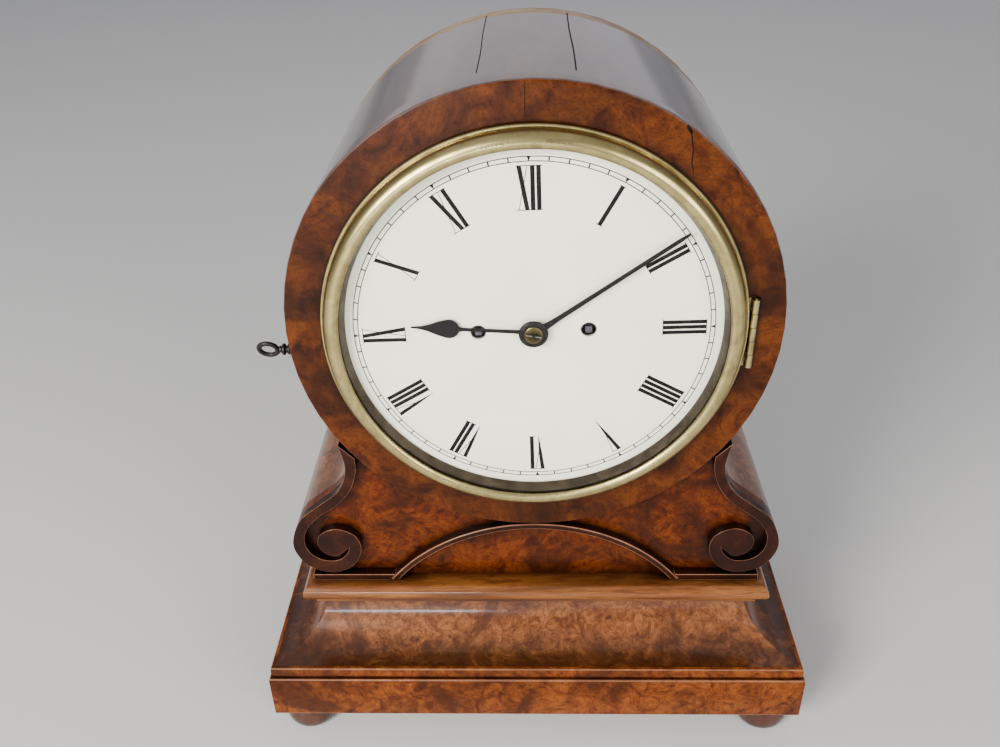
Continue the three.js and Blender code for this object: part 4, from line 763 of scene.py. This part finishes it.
for side, name, fusee in ((-1, "left", "striking_fusee"), (1, "right", "going_fusee")):
    # Each lip is near-black: painted shade for the dark inside of the hole.
    lip = arc((hole_radius - 0.1, dial_front + 0.2), 0.45, 180, -60, 8)
    turned("edge of the " + name + " winding hole", lip, 40,
           lambda a, b, y: leaning(side * hole_spread + a, y, b), hole_shade_lip, "case")
    square_front = (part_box(fusee)[0].y - ring_face) * 1000 - 0.15
    block(name + " winding square", (side * hole_spread - square, square_front, -square),
          (side * hole_spread + square, square_front + 10, square), winding_steel, fusee, (), leaning, 0.25)


# ---- sight ring ----
# A plain brass slip inside the bezel, behind the glass, dark with old lacquer and darker still as painted
# shade.
# Fixed in the bezel and opens with it.
# Its near-black tone is old lacquer and painted shade inside the bezel.
slip_brass = brass_finish("brass dark with lacquer and painted shade", (0.075, 0.06, 0.045), (0.03, 0.023, 0.018), 0.34)
glass_back = (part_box("bezel_glass")[1].y - ring_face) * 1000
slip = [(97.4, -0.3), (97.5, -0.8), (99.3, glass_back + 0.5), (99.8, glass_back + 0.3),
        (101.5, glass_back + 0.3), (101.5, -0.3)]


def on_dial_axis(a, b, y):
    return spot(a, y, b)


turned("slip ring", slip, 256, on_dial_axis, slip_brass, "bezel_door", ["sight_ring"], True)


# ---- bezel ----
# Cast and turned brass: a thin outer flange, a groove, and a full round roll that holds the glass.
# Hinged on the right; its catch on the left passes through the ring to the lock.
bezel_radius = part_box("bezel")[1].x * 1000
roll_front = (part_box("bezel")[0].y - ring_face) * 1000
bezel_inner = 101.9
flange_back = -0.4
flange_front = -3.2
roll_middle = 102.5
roll_half = 5.65
roll_foot = -3.0
roll_lip = -8.4
lip_reach = 3.0
groove_in = 108.2
glass_step = 99.5
glass_rebate = 2.1
rim = [(bezel_inner, flange_back), (bezel_radius - 0.5, flange_back), (bezel_radius, flange_back - 0.5)]
rim += [(bezel_radius, -2.8), (bezel_radius - 0.4, flange_front), (108.6, flange_front)]
rim += [(108.45, -2.7), (groove_in, -2.7)]
roll = [math.radians(90 * i / 18) for i in range(1, 19)]
rim += [(roll_middle + roll_half * math.cos(t), roll_foot + (roll_front - roll_foot) * math.sin(t))
        for t in roll]
rim += [(roll_middle - lip_reach * math.sin(t), roll_lip + (roll_front - roll_lip) * math.cos(t))
        for t in roll[:-1]]
rim += [(glass_step, glass_back - glass_rebate), (bezel_inner, glass_back - glass_rebate)]
turned("brass bezel", rim, 256, on_dial_axis, brass, "bezel_door", ["bezel"], True, 40)


# ---- glass ----
# A flat clear pane set in the bezel, with a faint sheen.
# Light passes straight through it to the dial.
pane, tree, surface = new_material("clear pane")
clear = tree.nodes.new("ShaderNodeBsdfTransparent")
sheen = tree.nodes.new("ShaderNodeBsdfGlossy")
sheen.inputs["Roughness"].default_value = 0.02
share = tree.nodes.new("ShaderNodeFresnel")
share.inputs["IOR"].default_value = 1.12
blend_in = tree.nodes.new("ShaderNodeMixShader")
link(tree, share.outputs["Fac"], blend_in.inputs[0])
link(tree, clear.outputs["BSDF"], blend_in.inputs[1])
link(tree, sheen.outputs["BSDF"], blend_in.inputs[2])
link(tree, blend_in.outputs["Shader"], tree.nodes["Material Output"].inputs["Surface"])
dress("bezel_glass", pane)


# ---- bezel hinge ----
# Five brass knuckles on a steel pin, let into the ring beside the bezel.
# One leaf is screwed to the recess and the other is fixed under the bezel's flange.
for node in ("bezel_hinge_case_leaf", "bezel_hinge_bezel_leaf", "rear_hinge_case_leaf",
             "rear_hinge_door_leaf", "rear_turn_button", "bezel_catch"):
    dress(node, hinge_brass)


# ---- lock and key ----
# A black iron key with an oval ring bow stands in a small lock on the left of the drum.
# Its collar is turned with two beads; the bolt it lifts catches the bezel's hook.
iron = even_finish("black iron", (0.022, 0.019, 0.018), 0.42, metal=0.7)
key_axis = Vector((0, 26, -24.4))
bow_middle = -147.4
bow_long = 5.1
bow_tall = 5.7
wire = 1.5
wire_flatness = 0.85
bow_turn = math.radians(28)
bow_points = []
bow_faces = []
around = 48
sides = 14
for i in range(around):
    t = 2 * math.pi * i / around
    for k in range(sides):
        s = 2 * math.pi * k / sides
        flat_x = (bow_long + wire * math.cos(s)) * math.cos(t)
        flat_z = (bow_tall + wire * math.cos(s)) * math.sin(t)
        thick = wire * wire_flatness * math.sin(s)
        y = thick * math.cos(bow_turn) - flat_z * math.sin(bow_turn)
        z = thick * math.sin(bow_turn) + flat_z * math.cos(bow_turn)
        bow_points.append(spot(bow_middle + flat_x, key_axis.y + y, key_axis.z + z))
        j = (i + 1) % around
        m = (k + 1) % sides
        bow_faces.append([i * sides + k, j * sides + k, j * sides + m, i * sides + m])
finish_piece("key bow", bow_points, bow_faces, iron, "key", ["key"])
shaft = [(0, -141.2), (1.9, -141), (2.1, -140), (3.3, -139), (3.3, -138), (2.0, -137.2), (2.0, -136.8),
         (3.1, -136), (3.1, -135.2), (1.9, -134.2), (2.3, -132.5), (2.3, -106.2), (0, -106)]
turned("key shaft", shaft, 32, lambda a, b, along: spot(along, key_axis.y + a, key_axis.z + b), iron, "key")
block("key bit", (-107.1, 25.1, -31.2), (-103.4, 26.9, -24.4), iron, "key")
dress("lock_bolt", steel)


# ---- movement ----
# Two spring barrels and fusees between brass plates, with an anchor escapement and a bell on top.
# It stands on the seat board, seen when the rear door is open.
# Its recesses darken: grime and painted shade.
movement_brass = brass_finish("movement brass", (0.66, 0.53, 0.28), (0.5, 0.4, 0.2), 0.28, 0.08, 0.014)
for node in ("movement_front_plate", "movement_back_plate", "going_fusee", "striking_fusee", "going_barrel",
             "striking_barrel", "centre_wheel", "third_wheel", "escape_wheel", "minute_wheel", "hour_wheel",
             "back_cock", "pin_wheel", "lock_case", "pendulum"):
    dress(node, movement_brass)
for node in ("cannon_pinion", "pallets_and_crutch", "hammer", "bell_stand"):
    dress(node, steel)
bell_metal = brass_finish("bell metal", (0.62, 0.52, 0.33), (0.5, 0.4, 0.24), 0.22)
dress("bell", bell_metal, 50)


# ---- floor, lights and camera ----
# A plain pale floor in soft daylight from the upper left, with weaker light from the right and from above.
# The camera looks down on the clock from the front.
floor_paint = even_finish("pale floor", (0.62, 0.61, 0.6), 0.6)
floor_mesh = bpy.data.meshes.new("floor")
wide = 6.0
floor_corners = [(-wide, -wide, 0), (wide, -wide, 0), (wide, wide, 0), (-wide, wide, 0)]
floor_mesh.from_pydata(floor_corners, [], [[0, 1, 2, 3]])
floor_mesh.materials.append(floor_paint)
floor = bpy.data.objects.new("floor", floor_mesh)
bpy.context.scene.collection.objects.link(floor)

world = bpy.data.worlds.new("soft room")
world.use_nodes = True
world.node_tree.nodes["Background"].inputs["Color"].default_value = (0.86, 0.9, 1, 1)
world.node_tree.nodes["Background"].inputs["Strength"].default_value = 0.3
bpy.context.scene.world = world


def lamp(name, place, aim, width, height, power, color):
    light = bpy.data.lights.new(name, "AREA")
    light.shape = "RECTANGLE"
    light.size = width
    light.size_y = height
    light.energy = power
    light.color = color
    holder = bpy.data.objects.new(name, light)
    holder.location = place
    toward = Vector(aim) - Vector(place)
    holder.rotation_euler = toward.to_track_quat("-Z", "Y").to_euler()
    bpy.context.scene.collection.objects.link(holder)


lamp("window", (-1.1, -1.5, 1.0), (0, 0, 0.25), 0.8, 0.9, 78, (1, 0.98, 0.93))
lamp("room fill", (1.3, -1.6, 0.8), (0, 0, 0.25), 1.2, 1.0, 34, (1, 0.97, 0.92))
lamp("ceiling", (0, -0.3, 3.2), (0, -0.3, 0), 5.0, 5.0, 26, (1, 0.99, 0.97))
lamp("wall glow", (0, 2.8, 1.5), (0, 0, 0.6), 5.4, 2.0, 12, (0.96, 0.95, 1))
lamp("low window", (-0.26, -1.35, 0.2), (0, -0.1, 0.07), 0.32, 0.1, 3.0, (0.9, 0.95, 1))

camera = bpy.data.objects.new("camera", bpy.data.cameras.new("camera"))
camera.data.sensor_width = 36
camera.data.lens = 34.72
camera.data.clip_start = 0.01
looking_down = 31.5
looking_left = 2.02
leaning_over = -1.43
camera_place = (-0.00245, -0.5016, 0.5192)
turn = Matrix.Rotation(math.radians(looking_left), 4, "Z")
turn = turn @ Matrix.Rotation(math.radians(90 - looking_down), 4, "X")
turn = turn @ Matrix.Rotation(math.radians(leaning_over), 4, "Z")
camera.matrix_world = Matrix.Translation(camera_place) @ turn
bpy.context.scene.collection.objects.link(camera)
bpy.context.scene.camera = camera
